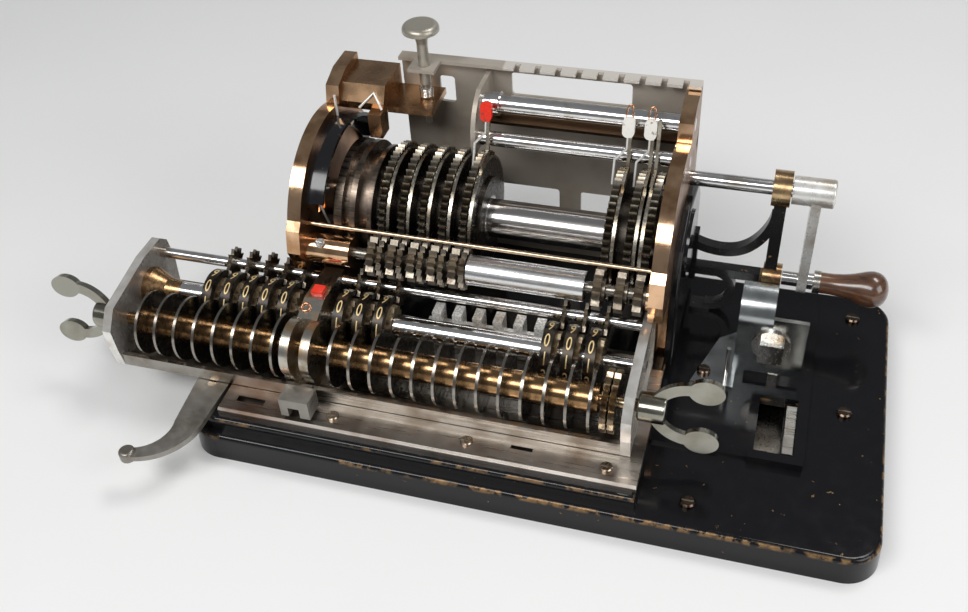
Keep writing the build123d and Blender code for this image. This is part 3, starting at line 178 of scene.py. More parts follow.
def rimmed(name, face, face_stain, edge, edge_stain, roughness, metallic=1.0):
    """A flat casting whose faces keep their patina while its edges are rubbed bright."""
    surface = Surface(name, metallic=metallic)
    flat = surface.sideways()
    blotch = surface.remap(surface.noise(60.0, 6.0), 0.42, 0.68)
    streak = surface.remap(surface.noise(90.0, 4.0), 0.42, 0.66)
    patina = surface.mix(blotch, face, face_stain)
    surface.colour(surface.mix(flat, surface.mix(streak, edge, edge_stain), patina))
    fine = surface.noise(350.0, 4.0)
    gloss = surface.remap(fine, 0.3, 0.7, 0.85, 1.2)
    low, high = roughness
    surface.rough(surface.math("MULTIPLY", gloss, surface.remap(flat, 0.0, 1.0, low, high)))
    surface.bump(fine, 0.05, 0.05)
    return surface.material


def glossy_black(name):
    """Black lacquer with a few chips and some dust."""
    surface = Surface(name, metallic=0.0)
    chips = surface.remap(surface.noise(380.0, 6.0), 0.70, 0.73)
    surface.colour(surface.mix(chips, (0.008, 0.008, 0.009), (0.25, 0.15, 0.08)))
    dust = surface.noise(150.0, 6.0)
    surface.rough(surface.remap(dust, 0.3, 0.8, 0.07, 0.2))
    surface.bump(surface.noise(120.0, 2.0), 0.08)
    return surface.material


def black_lacquer(name):
    """Black lacquer of the base, worn through to brass and rust in thin lines along its edges; the line under
    the deck's top edge is wear and also a painted highlight on that edge.
    """
    surface = Surface(name, metallic=0.0)
    z = surface.along("Z")
    under_deck = surface.remap(z, 12.3 * MM, 12.9 * MM, 1.0, 0.0)
    under_land = surface.remap(z, 18.4 * MM, 18.9 * MM, 1.0, 0.0)
    # The band under the deck's top edge is wear and a painted highlight; the band at the land's edge is wear.
    deck_edge_wear_and_highlight = surface.math("MULTIPLY", surface.step(z, 11.4, 0.9), under_deck)
    land_edge = surface.math("MULTIPLY", surface.step(z, 17.9, 0.7), under_land)
    right_half = surface.remap(surface.along("X"), -60.0 * MM, 40.0 * MM, 0.0, 0.12)
    edge = surface.math("MAXIMUM", deck_edge_wear_and_highlight, land_edge)
    coarse = surface.remap(surface.math("ADD", surface.noise(38.0, 3.0), right_half), 0.46, 0.56)
    ragged = surface.remap(surface.noise(260.0, 8.0), 0.46, 0.57)
    patches = surface.math("MULTIPLY", coarse, ragged)
    specks = surface.remap(surface.noise(420.0, 5.0), 0.72, 0.745)
    worn_and_highlit_edges = surface.math("MULTIPLY", edge, patches)
    worn = surface.math("MAXIMUM", worn_and_highlit_edges, surface.math("MULTIPLY", specks, 0.7))
    brass = surface.mix(surface.noise(500.0, 3.0), (0.46, 0.30, 0.14), (0.16, 0.07, 0.03))
    surface.colour(surface.mix(worn, (0.007, 0.007, 0.008), brass))
    surface.join(surface.math("MULTIPLY", worn, 0.7), surface.shader.inputs["Metallic"])
    dust = surface.remap(surface.noise(150.0, 6.0), 0.3, 0.8, 0.06, 0.2)
    surface.rough(surface.math("ADD", dust, surface.math("MULTIPLY", worn, 0.3)))
    surface.bump(surface.math("SUBTRACT", surface.noise(120.0, 2.0), worn), 0.1)
    surface.shader.inputs["Specular IOR Level"].default_value = 0.3
    return surface.material


def matt_sheet(name):
    """Matt nickel-silver sheet with a painted highlight on the top of its comb."""
    surface = Surface(name, metallic=0.3)
    # The lighter colour on the comb's top is a painted highlight.
    top = surface.remap(surface.along("Z"), 118.1 * MM, 118.3 * MM)
    comb = surface.math("MULTIPLY", top, surface.remap(surface.along("X"), -36.0 * MM, -35.0 * MM))
    grain = surface.noise(600.0, 4.0, LENGTHWISE)
    sheet = stained(surface, (0.45, 0.40, 0.34), (0.32, 0.27, 0.21), 0.6, 50.0)
    surface.colour(surface.mix(comb, sheet, (0.66, 0.62, 0.56)))
    surface.rough(surface.remap(grain, 0.3, 0.7, 0.34, 0.48))
    surface.bump(grain, 0.1, 0.05)
    return surface.material


def rail_steel(name):
    """Satin steel plate, brown with old oil at its left end."""
    surface = Surface(name)
    left = surface.remap(surface.along("X"), -112.0 * MM, -84.0 * MM, 1.0, 0.0)
    patches = surface.remap(surface.noise(45.0, 6.0), 0.3, 0.6)
    clean = stained(surface, (0.34, 0.31, 0.28), (0.20, 0.16, 0.13), 0.5)
    surface.colour(surface.mix(surface.math("MULTIPLY", left, patches), clean, (0.16, 0.085, 0.05)))
    fine = surface.noise(900.0, 4.0, LENGTHWISE)
    surface.rough(surface.remap(fine, 0.3, 0.7, 0.24, 0.4))
    surface.bump(fine, 0.12)
    return surface.material


def screw_metal(name):
    """Browned screws, darkest on the low deck; the lock group's square nut and washer are nickelled."""
    surface = Surface(name)
    x = surface.along("X")
    z = surface.along("Z")
    nut = surface.math("MULTIPLY", surface.step(x, 83.0, 0.5), surface.step(z, 20.0, 0.5))
    under_land = surface.remap(z, 18.0 * MM, 18.5 * MM, 1.0, 0.0)
    low_deck = surface.math("MULTIPLY", surface.step(x, 60.0, 0.5), under_land)
    brown = stained(surface, (0.50, 0.42, 0.33), (0.24, 0.15, 0.09), 0.5)
    brown = surface.mix(low_deck, brown, (0.10, 0.07, 0.05))
    nickel = stained(surface, (0.80, 0.78, 0.74), (0.50, 0.40, 0.30), 0.3)
    surface.colour(surface.mix(nut, brown, nickel))
    fine = surface.noise(900.0, 4.0)
    surface.rough(surface.remap(fine, 0.3, 0.7, 0.16, 0.3))
    surface.bump(fine, 0.1)
    return surface.material


def figures_enamel(name):
    """Gold-cream enamel of the figures."""
    surface = Surface(name, roughness=0.45, metallic=0.2)
    surface.colour(stained(surface, (0.78, 0.58, 0.28), (0.45, 0.30, 0.12), 0.4, 300.0))
    surface.bump(surface.noise(1500.0), 0.1, 0.02)
    return surface.material


def number_black(name):
    """Blackened drum with a brass gear beside it, told apart by their radius."""
    surface = Surface(name, metallic=0.6)
    grime = surface.noise(260.0, 5.0)
    drum = surface.step(surface.radius(NUMBER_AXIS), 9.0, 0.1)
    black = surface.mix(surface.remap(grime, 0.4, 0.75), (0.010, 0.009, 0.009), (0.08, 0.06, 0.04))
    gear = surface.mix(surface.remap(grime, 0.35, 0.7), (0.42, 0.34, 0.22), (0.12, 0.08, 0.05))
    surface.colour(surface.mix(drum, gear, black))
    surface.rough(surface.remap(grime, 0.3, 0.7, 0.2, 0.42))
    surface.bump(grime, 0.15, 0.05)
    return surface.material


def ring_steel(name):
    """Toothed rings: oily grey steel, bright where the teeth rub."""
    surface = Surface(name)
    r = surface.radius(DRUM_AXIS)
    tips = surface.step(r, 28.3, 0.4)
    grime = surface.noise(240.0, 6.0)
    body = surface.mix(surface.remap(grime, 0.35, 0.7), (0.12, 0.11, 0.09), (0.05, 0.04, 0.03))
    rubbed = surface.mix(surface.remap(grime, 0.4, 0.65), (0.46, 0.42, 0.35), (0.24, 0.18, 0.12))
    surface.colour(surface.mix(tips, body, rubbed))
    surface.rough(surface.remap(grime, 0.3, 0.7, 0.2, 0.4))
    surface.bump(surface.noise(1200.0), 0.15, 0.05)
    return surface.material


def rotor_steel(name):
    """Polished shaft in the middle, oily dark hubs round it."""
    surface = Surface(name)
    r = surface.radius(DRUM_AXIS)
    hub = surface.step(r, 9.5, 0.4)
    left = surface.remap(surface.along("X"), -79.5 * MM, -79.0 * MM, 1.0, 0.0)
    rings = surface.remap(surface.math("SINE", surface.math("MULTIPLY", r, 4200.0)), -1.0, 1.0, 0.8, 1.2)
    grime = surface.noise(200.0, 6.0)
    dark = surface.mix(surface.remap(grime, 0.3, 0.7), (0.10, 0.085, 0.07), (0.035, 0.03, 0.025))
    flange = surface.mix(surface.remap(grime, 0.3, 0.7), (0.24, 0.19, 0.15), (0.09, 0.07, 0.055))
    surface.colour(surface.mix(hub, (0.62, 0.60, 0.58), surface.mix(left, dark, flange)))
    fine = surface.noise(700.0, 4.0, LENGTHWISE)
    gloss = surface.remap(fine, 0.3, 0.7, 0.12, 0.22)
    turned_hub = surface.math("MULTIPLY", hub, rings)
    surface.rough(surface.math("MULTIPLY", gloss, surface.math("ADD", 1.0, turned_hub)))
    surface.bump(fine, 0.03, 0.03)
    return surface.material


def clearing_brass(name):
    """Brass spacers between grey discs with rubbed rims, and brass wheels at the right end."""
    surface = Surface(name)
    r = surface.radius(FRONT_SHAFT)
    disc = surface.step(r, 6.2, 0.1)
    rim = surface.step(r, 13.45, 0.12)
    gear = surface.remap(surface.along("X"), 30.8 * MM, 31.2 * MM)
    grime = surface.noise(300.0, 6.0)
    brass = surface.mix(surface.remap(grime, 0.35, 0.75), (0.40, 0.24, 0.115), (0.17, 0.10, 0.05))
    gear_brass = surface.mix(surface.remap(grime, 0.4, 0.6), (0.42, 0.32, 0.20), (0.14, 0.10, 0.07))
    brass = surface.mix(gear, brass, gear_brass)
    steel = surface.mix(surface.remap(grime, 0.35, 0.65), (0.38, 0.36, 0.33), (0.12, 0.11, 0.10))
    steel = surface.mix(rim, steel, surface.mix(grime, (0.42, 0.40, 0.36), (0.20, 0.17, 0.14)))
    not_gear = surface.math("SUBTRACT", 1.0, gear)
    surface.colour(surface.mix(surface.math("MULTIPLY", disc, not_gear), brass, steel))
    surface.rough(surface.remap(grime, 0.3, 0.75, 0.14, 0.34))
    surface.bump(grime, 0.08, 0.05)
    return surface.material


def rods_steel(name):
    """Bright tie rods, a brown flat bar between them and the coppery wire in front."""
    surface = Surface(name)
    y = surface.along("Y")
    z = surface.along("Z")
    behind = surface.step(y, 50.0)
    low = surface.remap(z, 104.0 * MM, 104.3 * MM, 1.0, 0.0)
    bar = surface.math("MULTIPLY", behind, low)
    front_wire = surface.remap(y, 0.0, 1.0 * MM, 1.0, 0.0)
    streak = surface.noise(700.0, 4.0, LENGTHWISE)
    spots = surface.remap(surface.noise(80.0, 5.0), 0.55, 0.8)
    bright = surface.mix(spots, (0.80, 0.79, 0.78), (0.45, 0.38, 0.30))
    colour = surface.mix(bar, bright, (0.16, 0.10, 0.06))
    surface.colour(surface.mix(front_wire, colour, (0.60, 0.44, 0.30)))
    gloss = surface.remap(streak, 0.3, 0.7, 0.10, 0.22)
    surface.rough(surface.math("ADD", gloss, surface.math("MULTIPLY", bar, 0.25)))
    surface.bump(streak, 0.08, 0.03)
    return surface.material


def bracket_black(name):
    """Black lacquered bracket whose two bearings show bronze."""
    surface = Surface(name)
    far = surface.remap(surface.along("X"), 82.8 * MM, 83.2 * MM)
    upper = surface.remap(surface.radius(CRANK_AXIS), 7.7 * MM, 7.9 * MM, 1.0, 0.0)
    lower = surface.remap(surface.radius(GRIP_AXIS), 6.05 * MM, 6.2 * MM, 1.0, 0.0)
    bronze = surface.math("MULTIPLY", far, surface.math("MAXIMUM", upper, lower))
    chips = surface.remap(surface.noise(330.0, 6.0), 0.68, 0.73)
    black = surface.mix(chips, (0.014, 0.013, 0.013), (0.25, 0.15, 0.08))
    blotch = surface.remap(surface.noise(150.0, 5.0), 0.4, 0.7)
    tarnish = surface.mix(blotch, (0.62, 0.44, 0.24), (0.30, 0.17, 0.09))
    surface.colour(surface.mix(bronze, black, tarnish))
    surface.join(bronze, surface.shader.inputs["Metallic"])
    surface.rough(surface.remap(surface.noise(200.0, 5.0), 0.3, 0.7, 0.14, 0.32))
    surface.bump(surface.noise(160.0, 3.0), 0.15)
    return surface.material


def support_bronze(name):
    """Arched bearing of worn nickel over bronze, with the red marker on its top."""
    surface = Surface(name)
    marker = surface.remap(surface.along("Z"), 53.52 * MM, 53.6 * MM)
    worn = surface.remap(surface.noise(160.0, 6.0), 0.42, 0.6)
    metal_colour = surface.mix(worn, (0.55, 0.52, 0.46), (0.36, 0.26, 0.16))
    surface.colour(surface.mix(marker, metal_colour, (0.75, 0.035, 0.02)))
    surface.join(surface.math("SUBTRACT", 1.0, marker), surface.shader.inputs["Metallic"])
    surface.rough(surface.remap(worn, 0.0, 1.0, 0.25, 0.42))
    surface.bump(surface.noise(900.0, 4.0), 0.15, 0.05)
    return surface.material


def varnished_wood(name):
    """Brown varnished wood, its grain along the grip."""
    surface = Surface(name, metallic=0.0)
    grain = surface.noise(700.0, 8.0, (0.12, 1.0, 1.0))
    blotch = surface.noise(90.0, 4.0)
    light = surface.mix(surface.remap(grain, 0.35, 0.65), (0.125, 0.055, 0.026), (0.045, 0.018, 0.009))
    surface.colour(surface.mix(surface.remap(blotch, 0.5, 0.8), light, (0.17, 0.08, 0.035)))
    surface.rough(surface.remap(grain, 0.3, 0.7, 0.22, 0.36))
    surface.bump(grain, 0.12, 0.05)
    surface.shader.inputs["Coat Weight"].default_value = 0.8
    surface.shader.inputs["Coat Roughness"].default_value = 0.1
    return surface.material


def lever_steel(name, tab=None, chipped=None):
    """Setting disc, oily inside and rubbed bright at its rim and arm; some have an enamelled tab."""
    surface = Surface(name)
    r = surface.radius(DRUM_AXIS)
    oily = stained(surface, (0.06, 0.05, 0.045), (0.03, 0.025, 0.02), 0.5, 140.0)
    rubbed = stained(surface, (0.48, 0.44, 0.37), (0.24, 0.18, 0.12), 0.6, 140.0)
    colour = surface.mix(surface.step(r, 26.0, 0.15), oily, rubbed)
    if tab:
        enamelled = surface.step(r, 43.35, 0.05)
        chips = surface.remap(surface.noise(500.0, 4.0), 0.64, 0.68)
        colour = surface.mix(enamelled, colour, surface.mix(chips, tab, chipped))
        surface.join(surface.math("SUBTRACT", 1.0, enamelled), surface.shader.inputs["Metallic"])
    surface.colour(colour)
    surface.rough(surface.remap(surface.noise(700.0), 0.3, 0.7, 0.18, 0.36))
    surface.bump(surface.noise(900.0), 0.1, 0.04)
    return surface.material


def build_materials():
    return {
        "lacquer": black_lacquer("lacquer_black"),
        "gloss": glossy_black("gloss_black"),
        "bronze": rimmed("bronze_cheek", (0.38, 0.21, 0.11), (0.15, 0.08, 0.045),
                         (0.80, 0.52, 0.32), (0.44, 0.25, 0.13), (0.12, 0.32)),
        "block": metal("bronze_block", (0.48, 0.30, 0.17), (0.26, 0.155, 0.09), 0.26, grain=0.02, size=120.0),
        "nickel_silver": matt_sheet("nickel_silver_sheet"),
        "satin": metal("satin_steel", (0.36, 0.34, 0.31), (0.20, 0.165, 0.13), 0.3, LENGTHWISE),
        "rail": rail_steel("rail_steel"),
        "bright": metal("bright_steel", (0.80, 0.79, 0.78), (0.50, 0.44, 0.36), 0.14, LENGTHWISE, 0.3, 0.06),
        "tube": metal("satin_tube", (0.80, 0.80, 0.80), (0.62, 0.59, 0.55), 0.24, LENGTHWISE, 0.2, 0.04),
        "nickel": metal("nickel_plate", (0.50, 0.47, 0.42), (0.32, 0.27, 0.21), 0.24,
                        amount=0.4, grain=0.02, size=150.0),
        "wing": metal("wing_nut_nickel", (0.37, 0.36, 0.31), (0.23, 0.21, 0.16), 0.17,
                      grain=0.02, size=130.0),
        "dull": metal("dull_lever_steel", (0.33, 0.31, 0.28), (0.17, 0.15, 0.12), 0.4,
                      amount=0.6, grain=0.06, metallic=0.8, size=300.0),
        "arm": metal("crank_arm_steel", (0.80, 0.79, 0.76), (0.52, 0.46, 0.38), 0.26,
                     amount=0.4, grain=0.02, metallic=0.6, size=200.0),
        "plate": rimmed("cast_end_plate", (0.50, 0.48, 0.45), (0.30, 0.26, 0.22),
                        (0.86, 0.84, 0.80), (0.60, 0.55, 0.48), (0.16, 0.28), 0.7),
        "carry": metal("carry_block_steel", (0.86, 0.84, 0.80), (0.55, 0.48, 0.40), 0.26,
                       amount=0.3, grain=0.05, metallic=0.4),
        # Grey steel of the lock plate; its faint blue-green tint is a painted reflection.
        "lock": metal("lock_plate_steel", (0.42, 0.44, 0.44), (0.26, 0.26, 0.25), 0.2,
                      amount=0.4, grain=0.02, size=140.0),
        "brass": metal("brass_bare", (0.36, 0.22, 0.11), (0.14, 0.08, 0.045), 0.26, amount=0.6, grain=0.05),
        "dark_steel": metal("oily_steel", (0.26, 0.24, 0.21), (0.09, 0.07, 0.05), 0.3, amount=0.6),
        "pinion": metal("pinion_steel", (0.23, 0.20, 0.16), (0.075, 0.055, 0.04), 0.34, amount=0.6),
        "wire": metal("tinned_wire", (0.90, 0.88, 0.84), (0.66, 0.62, 0.56), 0.34, amount=0.2, metallic=0.5),
        "screw": screw_metal("screw_steel"),
        "key": metal("key_metal", (0.44, 0.41, 0.35), (0.27, 0.23, 0.17), 0.36, metallic=0.7),
        "rings": ring_steel("drive_ring_steel"),
        "rotor": rotor_steel("rotor_steel"),
        "clearing": clearing_brass("clearing_shaft_brass"),
        "rods": rods_steel("tie_rod_steel"),
        "bracket": bracket_black("bracket_black"),
        "support": support_bronze("support_bronze"),
        "wood": varnished_wood("grip_wood"),
        "number": number_black("number_wheel_black"),
        "figures": figures_enamel("figures_cream"),
        "copper": metal("copper_wire", (0.80, 0.42, 0.24), (0.45, 0.22, 0.12), 0.2, amount=0.3),
        "lever": lever_steel("lever_steel"),
        "red_lever": lever_steel("lever_red_tab", (0.80, 0.03, 0.012), (0.30, 0.05, 0.03)),
        "white_lever": lever_steel("lever_white_tab", (0.84, 0.82, 0.76), (0.42, 0.38, 0.30)),
    }


NODE_MATERIALS = {
    "base_casting": "lacquer", "bottom_plate": "dark_steel", "rail_plate": "rail", "left_cheek": "bronze",
    "right_cheek": "bronze", "end_guard": "gloss", "bearing_bar": "block", "back_plate": "nickel_silver",
    "tie_rods": "rods", "side_cover": "gloss", "crank_bracket": "bracket", "pinion_shaft": "dark_steel",
    "spacer_tube": "tube", "lock_plate": "lock", "fasteners": "screw", "rotor_shaft": "rotor",
    "drive_rings": "rings", "rotor_gear": "dark_steel", "idler_gear": "dark_steel",
    "crank_gear": "dark_steel",
    "crank_shaft": "bright", "crank_arm": "arm", "crank_pin": "bright", "crank_grip": "wood",
    "grip_ferrule": "nickel", "pinions": "pinion", "carriage_bed": "satin", "end_plates": "plate",
    "middle_support": "support", "register_shafts": "bright", "register_cone": "brass", "carry_bar": "carry",
    "transfer_wheels": "pinion", "right_clearing_shaft": "clearing", "left_clearing_shaft": "clearing",
    "right_wing_nut": "wing", "left_wing_nut": "wing", "key_plunger": "key", "carriage_latch": "dull",
    "carriage_lever": "dull", "lock_lever": "satin",
}
LEVER_MATERIALS = {5: "red_lever", 6: "white_lever", 7: "white_lever"}


def material_of(name):
    if name in NODE_MATERIALS:
        return NODE_MATERIALS[name]
    if "_wheel_" in name:
        return "number"
    return LEVER_MATERIALS.get(int(name[-1]), "lever")


def dress_nodes(materials):
    for name, thing in nodes_by_name.items():
        thing.data.materials.clear()
        thing.data.materials.append(materials[material_of(name)])


# Added pieces ------------------------------------------------------------------------------------

def add_piece(name, data, material, body):
    """Put a mesh or curve into the scene, on the body that carries it."""
    data.materials.append(material)
    piece = bpy.data.objects.new(name, data)
    bpy.context.scene.collection.objects.link(piece)
    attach(piece, body)
    return piece


def mesh_of(name, points, faces):
    mesh = bpy.data.meshes.new(name)
    mesh.from_pydata(points, [], faces)
    return mesh


# Figures on the number wheels --------------------------------------------------------------------

FIGURE_HEIGHT = 6.2
FIGURE_WIDTH = 0.80            # of the font's own width
FIGURE_ANGLE = 116.0           # where the zero stands, in degrees above +Y
DRUM_R = 12.4
FIGURE_LIFT = 0.06


def figure_mesh(text):
    """Flat mesh of one figure in the font's own units, cut into strips so that it can bend."""
    curve = bpy.data.curves.new("figure_outline", "FONT")
    curve.body = text
    curve.align_x = "CENTER"
    curve.align_y = "CENTER"
    curve.resolution_u = 3
    holder = bpy.data.objects.new("figure_outline", curve)
    bpy.context.scene.collection.objects.link(holder)
    mesh = bpy.data.meshes.new_from_object(holder)
    bpy.data.objects.remove(holder)
    cut = bmesh.new()
    cut.from_mesh(mesh)
    for i in range(-4, 5):
        everything = cut.verts[:] + cut.edges[:] + cut.faces[:]
        bmesh.ops.bisect_plane(cut, geom=everything, plane_co=(0.0, 0.09 * i, 0.0), plane_no=(0.0, 1.0, 0.0))
    cut.to_mesh(mesh)
    cut.free()
    return mesh


def wheel_figures(wheel, materials):
    """The ten figures round one number wheel, bent onto its drum."""
    low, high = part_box(wheel)
    middle = low[0] + 2.2 * MM
    points = []
    faces = []
    for number in range(10):
        mesh = FIGURES[number]
        first = len(points)
        for vertex in mesh.vertices:
            across = vertex.co.x * FIGURE_HEIGHT * FIGURE_WIDTH
            up = vertex.co.y * FIGURE_HEIGHT * 1.35
            angle = radians(FIGURE_ANGLE + 36.0 * number) - up / DRUM_R
            radius = DRUM_R + FIGURE_LIFT
            y = (NUMBER_AXIS[0] + radius * cos(angle)) * MM
            z = (NUMBER_AXIS[1] + radius * sin(angle)) * MM
            points.append((middle + across * MM, y, z))
        faces += [[first + i for i in polygon.vertices] for polygon in mesh.polygons]
    name = "figures_" + wheel
    piece = add_piece(name, mesh_of(name, points, faces), materials["figures"], wheel)
    skin = piece.modifiers.new("skin", "SOLIDIFY")
    skin.thickness = FIGURE_LIFT * MM
    skin.offset = 0.0


FIGURES = [figure_mesh(str(number)) for number in range(10)]


# Wires and springs -------------------------------------------------------------------------------

def wire(name, points, radius, body, material, smooth=False):
    """A bent wire through points given in millimetres."""
    curve = bpy.data.curves.new(name, "CURVE")
    curve.dimensions = "3D"
    curve.bevel_depth = radius * MM
    curve.bevel_resolution = 3
    curve.use_fill_caps = True
    spline = curve.splines.new("NURBS" if smooth else "POLY")
    spline.points.add(len(points) - 1)
    for target, point in zip(spline.points, points):
        target.co = (point[0] * MM, point[1] * MM, point[2] * MM, 1.0)
    if smooth:
        spline.use_endpoint_u = True
        spline.order_u = 3
    add_piece(name, curve, material, body)


KEY_AXIS = (-69.5, 61.5)       # X and Y of the key
KEY_SPRING_R = 2.9
KEY_SPRING_Z = (104.3, 108.6)


def key_spring(materials):
    """Coil spring under the comb, wide enough for the key's stem to pass inside it."""
    turns = 6
    steps = 12
    bottom, top = KEY_SPRING_Z
    points = []
    for i in range(turns * steps + 1):
        angle = 2 * pi * i / steps
        height = bottom + (top - bottom) * i / (turns * steps)
        across = KEY_AXIS[0] + KEY_SPRING_R * cos(angle)
        points.append((across, KEY_AXIS[1] + KEY_SPRING_R * sin(angle), height))
    wire("key_spring", points, 0.25, "frame", materials["bright"])


def left_end_wires(materials):
    """Springs and a thin post at the left cheek, and the bent spring in front of the bearing block."""
    bright = materials["wire"]
    spring = [(-101.8, 3.6, 90.0), (-101.8, 6.4, 80.0), (-101.8, 12.4, 63.7)]
    wire("cheek_spring", spring, 0.5, "frame", bright)
    hook = [(-101.8, 4.6, 87.0), (-101.6, 9.0, 86.2), (-101.4, 16.0, 81.5)]
    wire("cheek_spring_hook", hook, 0.5, "frame", bright)
    wire("cheek_post", [(-103.3, 39.4, 96.0), (-103.3, 39.4, 113.4)], 0.6, "frame", bright)
    bent = [(-95.0, 44.8, 105.1), (-88.6, 47.7, 111.4), (-84.6, 44.8, 105.1)]
    wire("block_spring", bent, 0.6, "frame", bright)


def around_drum(x, radius, angle):
    """A point at a radius and angle about the rotor's axis."""
    return (x, DRUM_AXIS[0] + radius * cos(radians(angle)), DRUM_AXIS[1] + radius * sin(radians(angle)))


TAB_MIDDLES = {5: -36.5, 6: 23.5, 7: 32.5}
WIRE_ANGLE = 76.0
WIRE_SHIFT = 4.6               # how far a wire steps to the left, past its ring
LOOP_HALF = 1.4                # half the width of a copper loop


def tab_wires(materials):
    """Bent wire from each finger tab down the left of its ring, and a copper loop over each white tab."""
    for number, x in TAB_MIDDLES.items():
        lever = "setting_lever_%d" % number
        left = x - WIRE_SHIFT
        path = [around_drum(x, 45.0, WIRE_ANGLE), around_drum(x, 38.5, WIRE_ANGLE),
                around_drum(left, 33.5, WIRE_ANGLE + 1), around_drum(left, 23.5, WIRE_ANGLE + 6)]
        wire("wire_%d" % number, path, 0.6, lever, materials["wire"])
        if LEVER_MATERIALS[number] == "red_lever":
            continue
        near, far = x - LOOP_HALF, x + LOOP_HALF
        loop = [around_drum(near, 51.0, 75.0), around_drum(near, 55.5, 74.5), around_drum(x, 57.0, 74.3),
                around_drum(far, 55.5, 74.5), around_drum(far, 51.0, 75.0)]
        wire("loop_%d" % number, loop, 0.35, lever, materials["copper"], smooth=True)


# Small solid pieces ------------------------------------------------------------------------------

def blocks(name, boxes, body, material):
    """One piece made of plain small boxes, each given as its low and high corner in millimetres."""
    points = []
    faces = []
    for low, high in boxes:
        first = len(points)
        points += [(x * MM, y * MM, z * MM) for x in (low[0], high[0]) for y in (low[1], high[1])
                   for z in (low[2], high[2])]
        for face in ((0, 1, 3, 2), (4, 6, 7, 5), (0, 4, 5, 1), (2, 3, 7, 6), (0, 2, 6, 4), (1, 5, 7, 3)):
            faces.append([first + i for i in face])
    add_piece(name, mesh_of(name, points, faces), material, body)


SLOT_HALF = 0.35               # half the width of a screw's slot
RAIL_HEADS = [(x, -59.5, 23.3, 2.1) for x in (-78.0, -20.0, 37.0)]      # X, Y, top and half length
DECK_HEADS = [(125.0, -1.0, 15.0, 2.4), (69.5, -62.0, 15.0, 2.4), (126.0, 58.0, 15.0, 2.4)]
FOOT_HEAD = (66.0, 8.0, 17.8, 2.2)


def screw_slots(materials):
    """Thin dark boxes across the screw heads on the rail, the deck and the lock group's foot, with painted
    shade for their slots.
    """
    boxes = []
    for x, y, top, half in RAIL_HEADS + DECK_HEADS + [FOOT_HEAD]:
        boxes.append(((x - half, y - SLOT_HALF, top - 0.02), (x + half, y + SLOT_HALF, top + 0.05)))
    blocks("screw_slots", boxes, "frame", materials["dark_steel"])


def boss_screw(materials):
    """Slotted screw head on the left cheek's pinion boss: a low disc that carries two half rounds."""
    up = Vector((0.0, -3.8, 5.8)).normalized()
    side = Vector((1.0, 0.0, 0.0))
    across = up.cross(side)
    seat = Vector((-96.8, *PINION_AXIS)) + up * 6.2
    radius = 2.1
    points = []
    faces = []

    def prism(outline, low, high):
        first = len(points)
        count = len(outline)
        for height in (low, high):
            points.extend((seat + side * u + across * v + up * height) * MM for u, v in outline)
        faces.append([first + i for i in reversed(range(count))])
        faces.append([first + count + i for i in range(count)])
        for i in range(count):
            j = (i + 1) % count
            faces.append([first + i, first + j, first + count + j, first + count + i])

    circle = [(radius * cos(pi * i / 10), radius * sin(pi * i / 10)) for i in range(20)]
    angles = [radians(angle) for angle in range(12, 169, 12)]
    half = [(radius * cos(angle), radius * sin(angle)) for angle in angles]
    prism(circle, 0.0, 0.5)
    prism(half, 0.5, 1.1)
    prism([(-u, -v) for u, v in half], 0.5, 1.1)
    mesh = mesh_of("boss_screw", points, faces)
    add_piece("boss_screw", mesh, materials["bright"], "frame")


def latch_knurl(materials):
    """Ridges on the latch's right side, for the thumb."""
    low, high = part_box("carriage_latch")
    right, top = high[0] / MM, high[2] / MM
    front = low[1] / MM
    boxes = []
    for i in range(7):
        start = front + 0.9 + 1.1 * i
        boxes.append(((right - 0.1, start, top - 8.6), (right + 0.35, start + 0.5, top - 0.5)))
    blocks("latch_knurl", boxes, "carriage_latch", materials["dull"])


def support_ring(materials):
    """Small copper ring on the middle support's slope, in front of the marker."""
    points = []
    for i in range(25):
        angle = 2 * pi * i / 24
        points.append((-98.2 + 1.9 * cos(angle), -28.8 + 1.7 * sin(angle), 52.3 + 0.65 * sin(angle)))
    wire("support_ring", points, 0.45, "carriage", materials["copper"])


def lock_details(materials):
    """Leg under the lock plate's wing and the upright pin on its foot."""
    leg = ((92.5, 9.6, 14.5), (96.5, 11.6, 18.7))
    blocks("lock_leg", [leg], "frame", materials["nickel"])
    pin = [(75.4, 6.4, 15.9), (75.4, 6.4, 33.0)]
    wire("lock_pin", pin, 0.9, "frame", materials["bright"])


# Stage -------------------------------------------------------------------------------------------

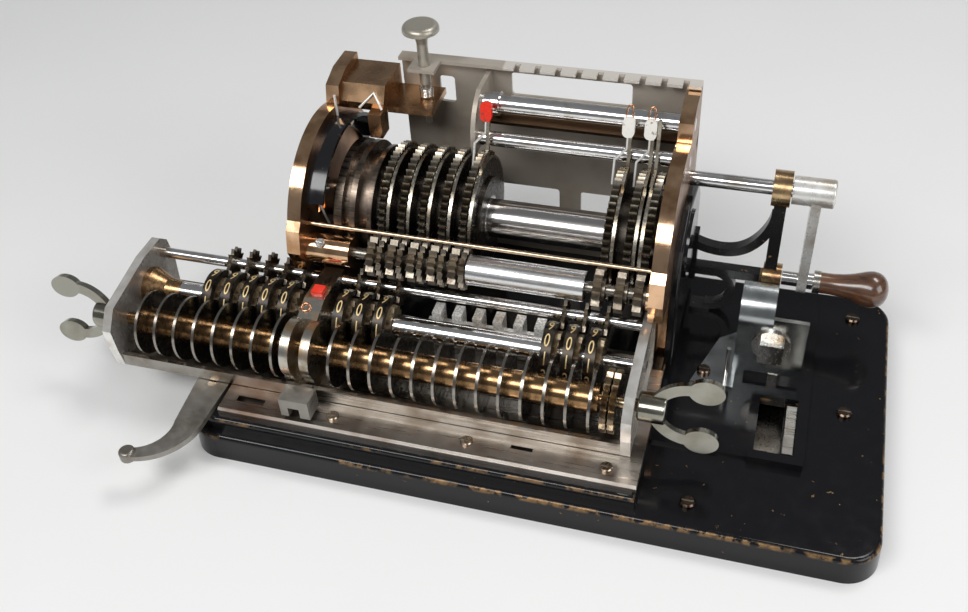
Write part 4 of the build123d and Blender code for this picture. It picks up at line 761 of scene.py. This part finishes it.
def floor():
    """Large pale floor that curves up behind the object."""
    surface = Surface("floor_pale", roughness=0.7, metallic=0.0)
    surface.colour(surface.mix(surface.noise(8.0, 3.0), (0.80, 0.80, 0.79), (0.84, 0.84, 0.83)))
    half, back, top, bend = 3.0, 1.6, 0.8, 0.4
    profile = [(-2.0, 0.0), (back - bend, 0.0)]
    for i in range(1, 9):
        angle = pi / 2 * i / 8
        profile.append((back - bend + bend * sin(angle), bend - bend * cos(angle)))
    profile.append((back, top))
    points = [(x, y, z) for y, z in profile for x in (-half, half)]
    faces = [(2 * i, 2 * i + 1, 2 * i + 3, 2 * i + 2) for i in range(len(profile) - 1)]
    mesh = mesh_of("floor", points, faces)
    mesh.materials.append(surface.material)
    piece = bpy.data.objects.new("floor", mesh)
    bpy.context.scene.collection.objects.link(piece)


def lamp(name, place, size, power, target=(0.0, 0.0, 0.04)):
    light = bpy.data.lights.new(name, "AREA")
    light.shape = "RECTANGLE"
    light.size, light.size_y = size
    light.energy = power
    thing = bpy.data.objects.new(name, light)
    bpy.context.scene.collection.objects.link(thing)
    thing.location = place
    thing.rotation_euler = (Vector(target) - Vector(place)).to_track_quat("-Z", "Y").to_euler()


def studio():
    world = bpy.data.worlds.new("studio")
    bpy.context.scene.world = world
    world.use_nodes = True
    background = world.node_tree.nodes["Background"]
    background.inputs["Color"].default_value = (0.72, 0.74, 0.77, 1.0)
    background.inputs["Strength"].default_value = 0.25
    lamp("key_light", (-0.35, -0.75, 1.0), (0.9, 0.4), 10.0)
    lamp("fill_light", (0.9, -0.4, 0.6), (0.6, 0.6), 4.5)
    lamp("back_light", (0.5, 0.5, 1.5), (0.7, 0.4), 8.0)


def camera():
    """The photograph's viewpoint."""
    data = bpy.data.cameras.new("camera")
    data.lens = CAMERA_LENS
    data.sensor_width = 36.0
    data.clip_start = 0.01
    thing = bpy.data.objects.new("camera", data)
    bpy.context.scene.collection.objects.link(thing)
    turn = Matrix.Rotation(radians(CAMERA_AZIMUTH), 4, "Z")
    turn = turn @ Matrix.Rotation(radians(90.0 - CAMERA_ELEVATION), 4, "X")
    turn = turn @ Matrix.Rotation(radians(CAMERA_ROLL), 4, "Z")
    place = Matrix.Translation(Vector(CAMERA_PLACE) * MM)
    thing.matrix_world = place @ turn
    bpy.context.scene.camera = thing


# Build -------------------------------------------------------------------------------------------

materials = build_materials()
dress_nodes(materials)
for node_name in nodes_by_name:
    if "_wheel_" in node_name:
        wheel_figures(node_name, materials)
key_spring(materials)
left_end_wires(materials)
tab_wires(materials)
screw_slots(materials)
boss_screw(materials)
latch_knurl(materials)
support_ring(materials)
lock_details(materials)
floor()
studio()
camera()
bpy.context.scene.view_settings.view_transform = "Standard"
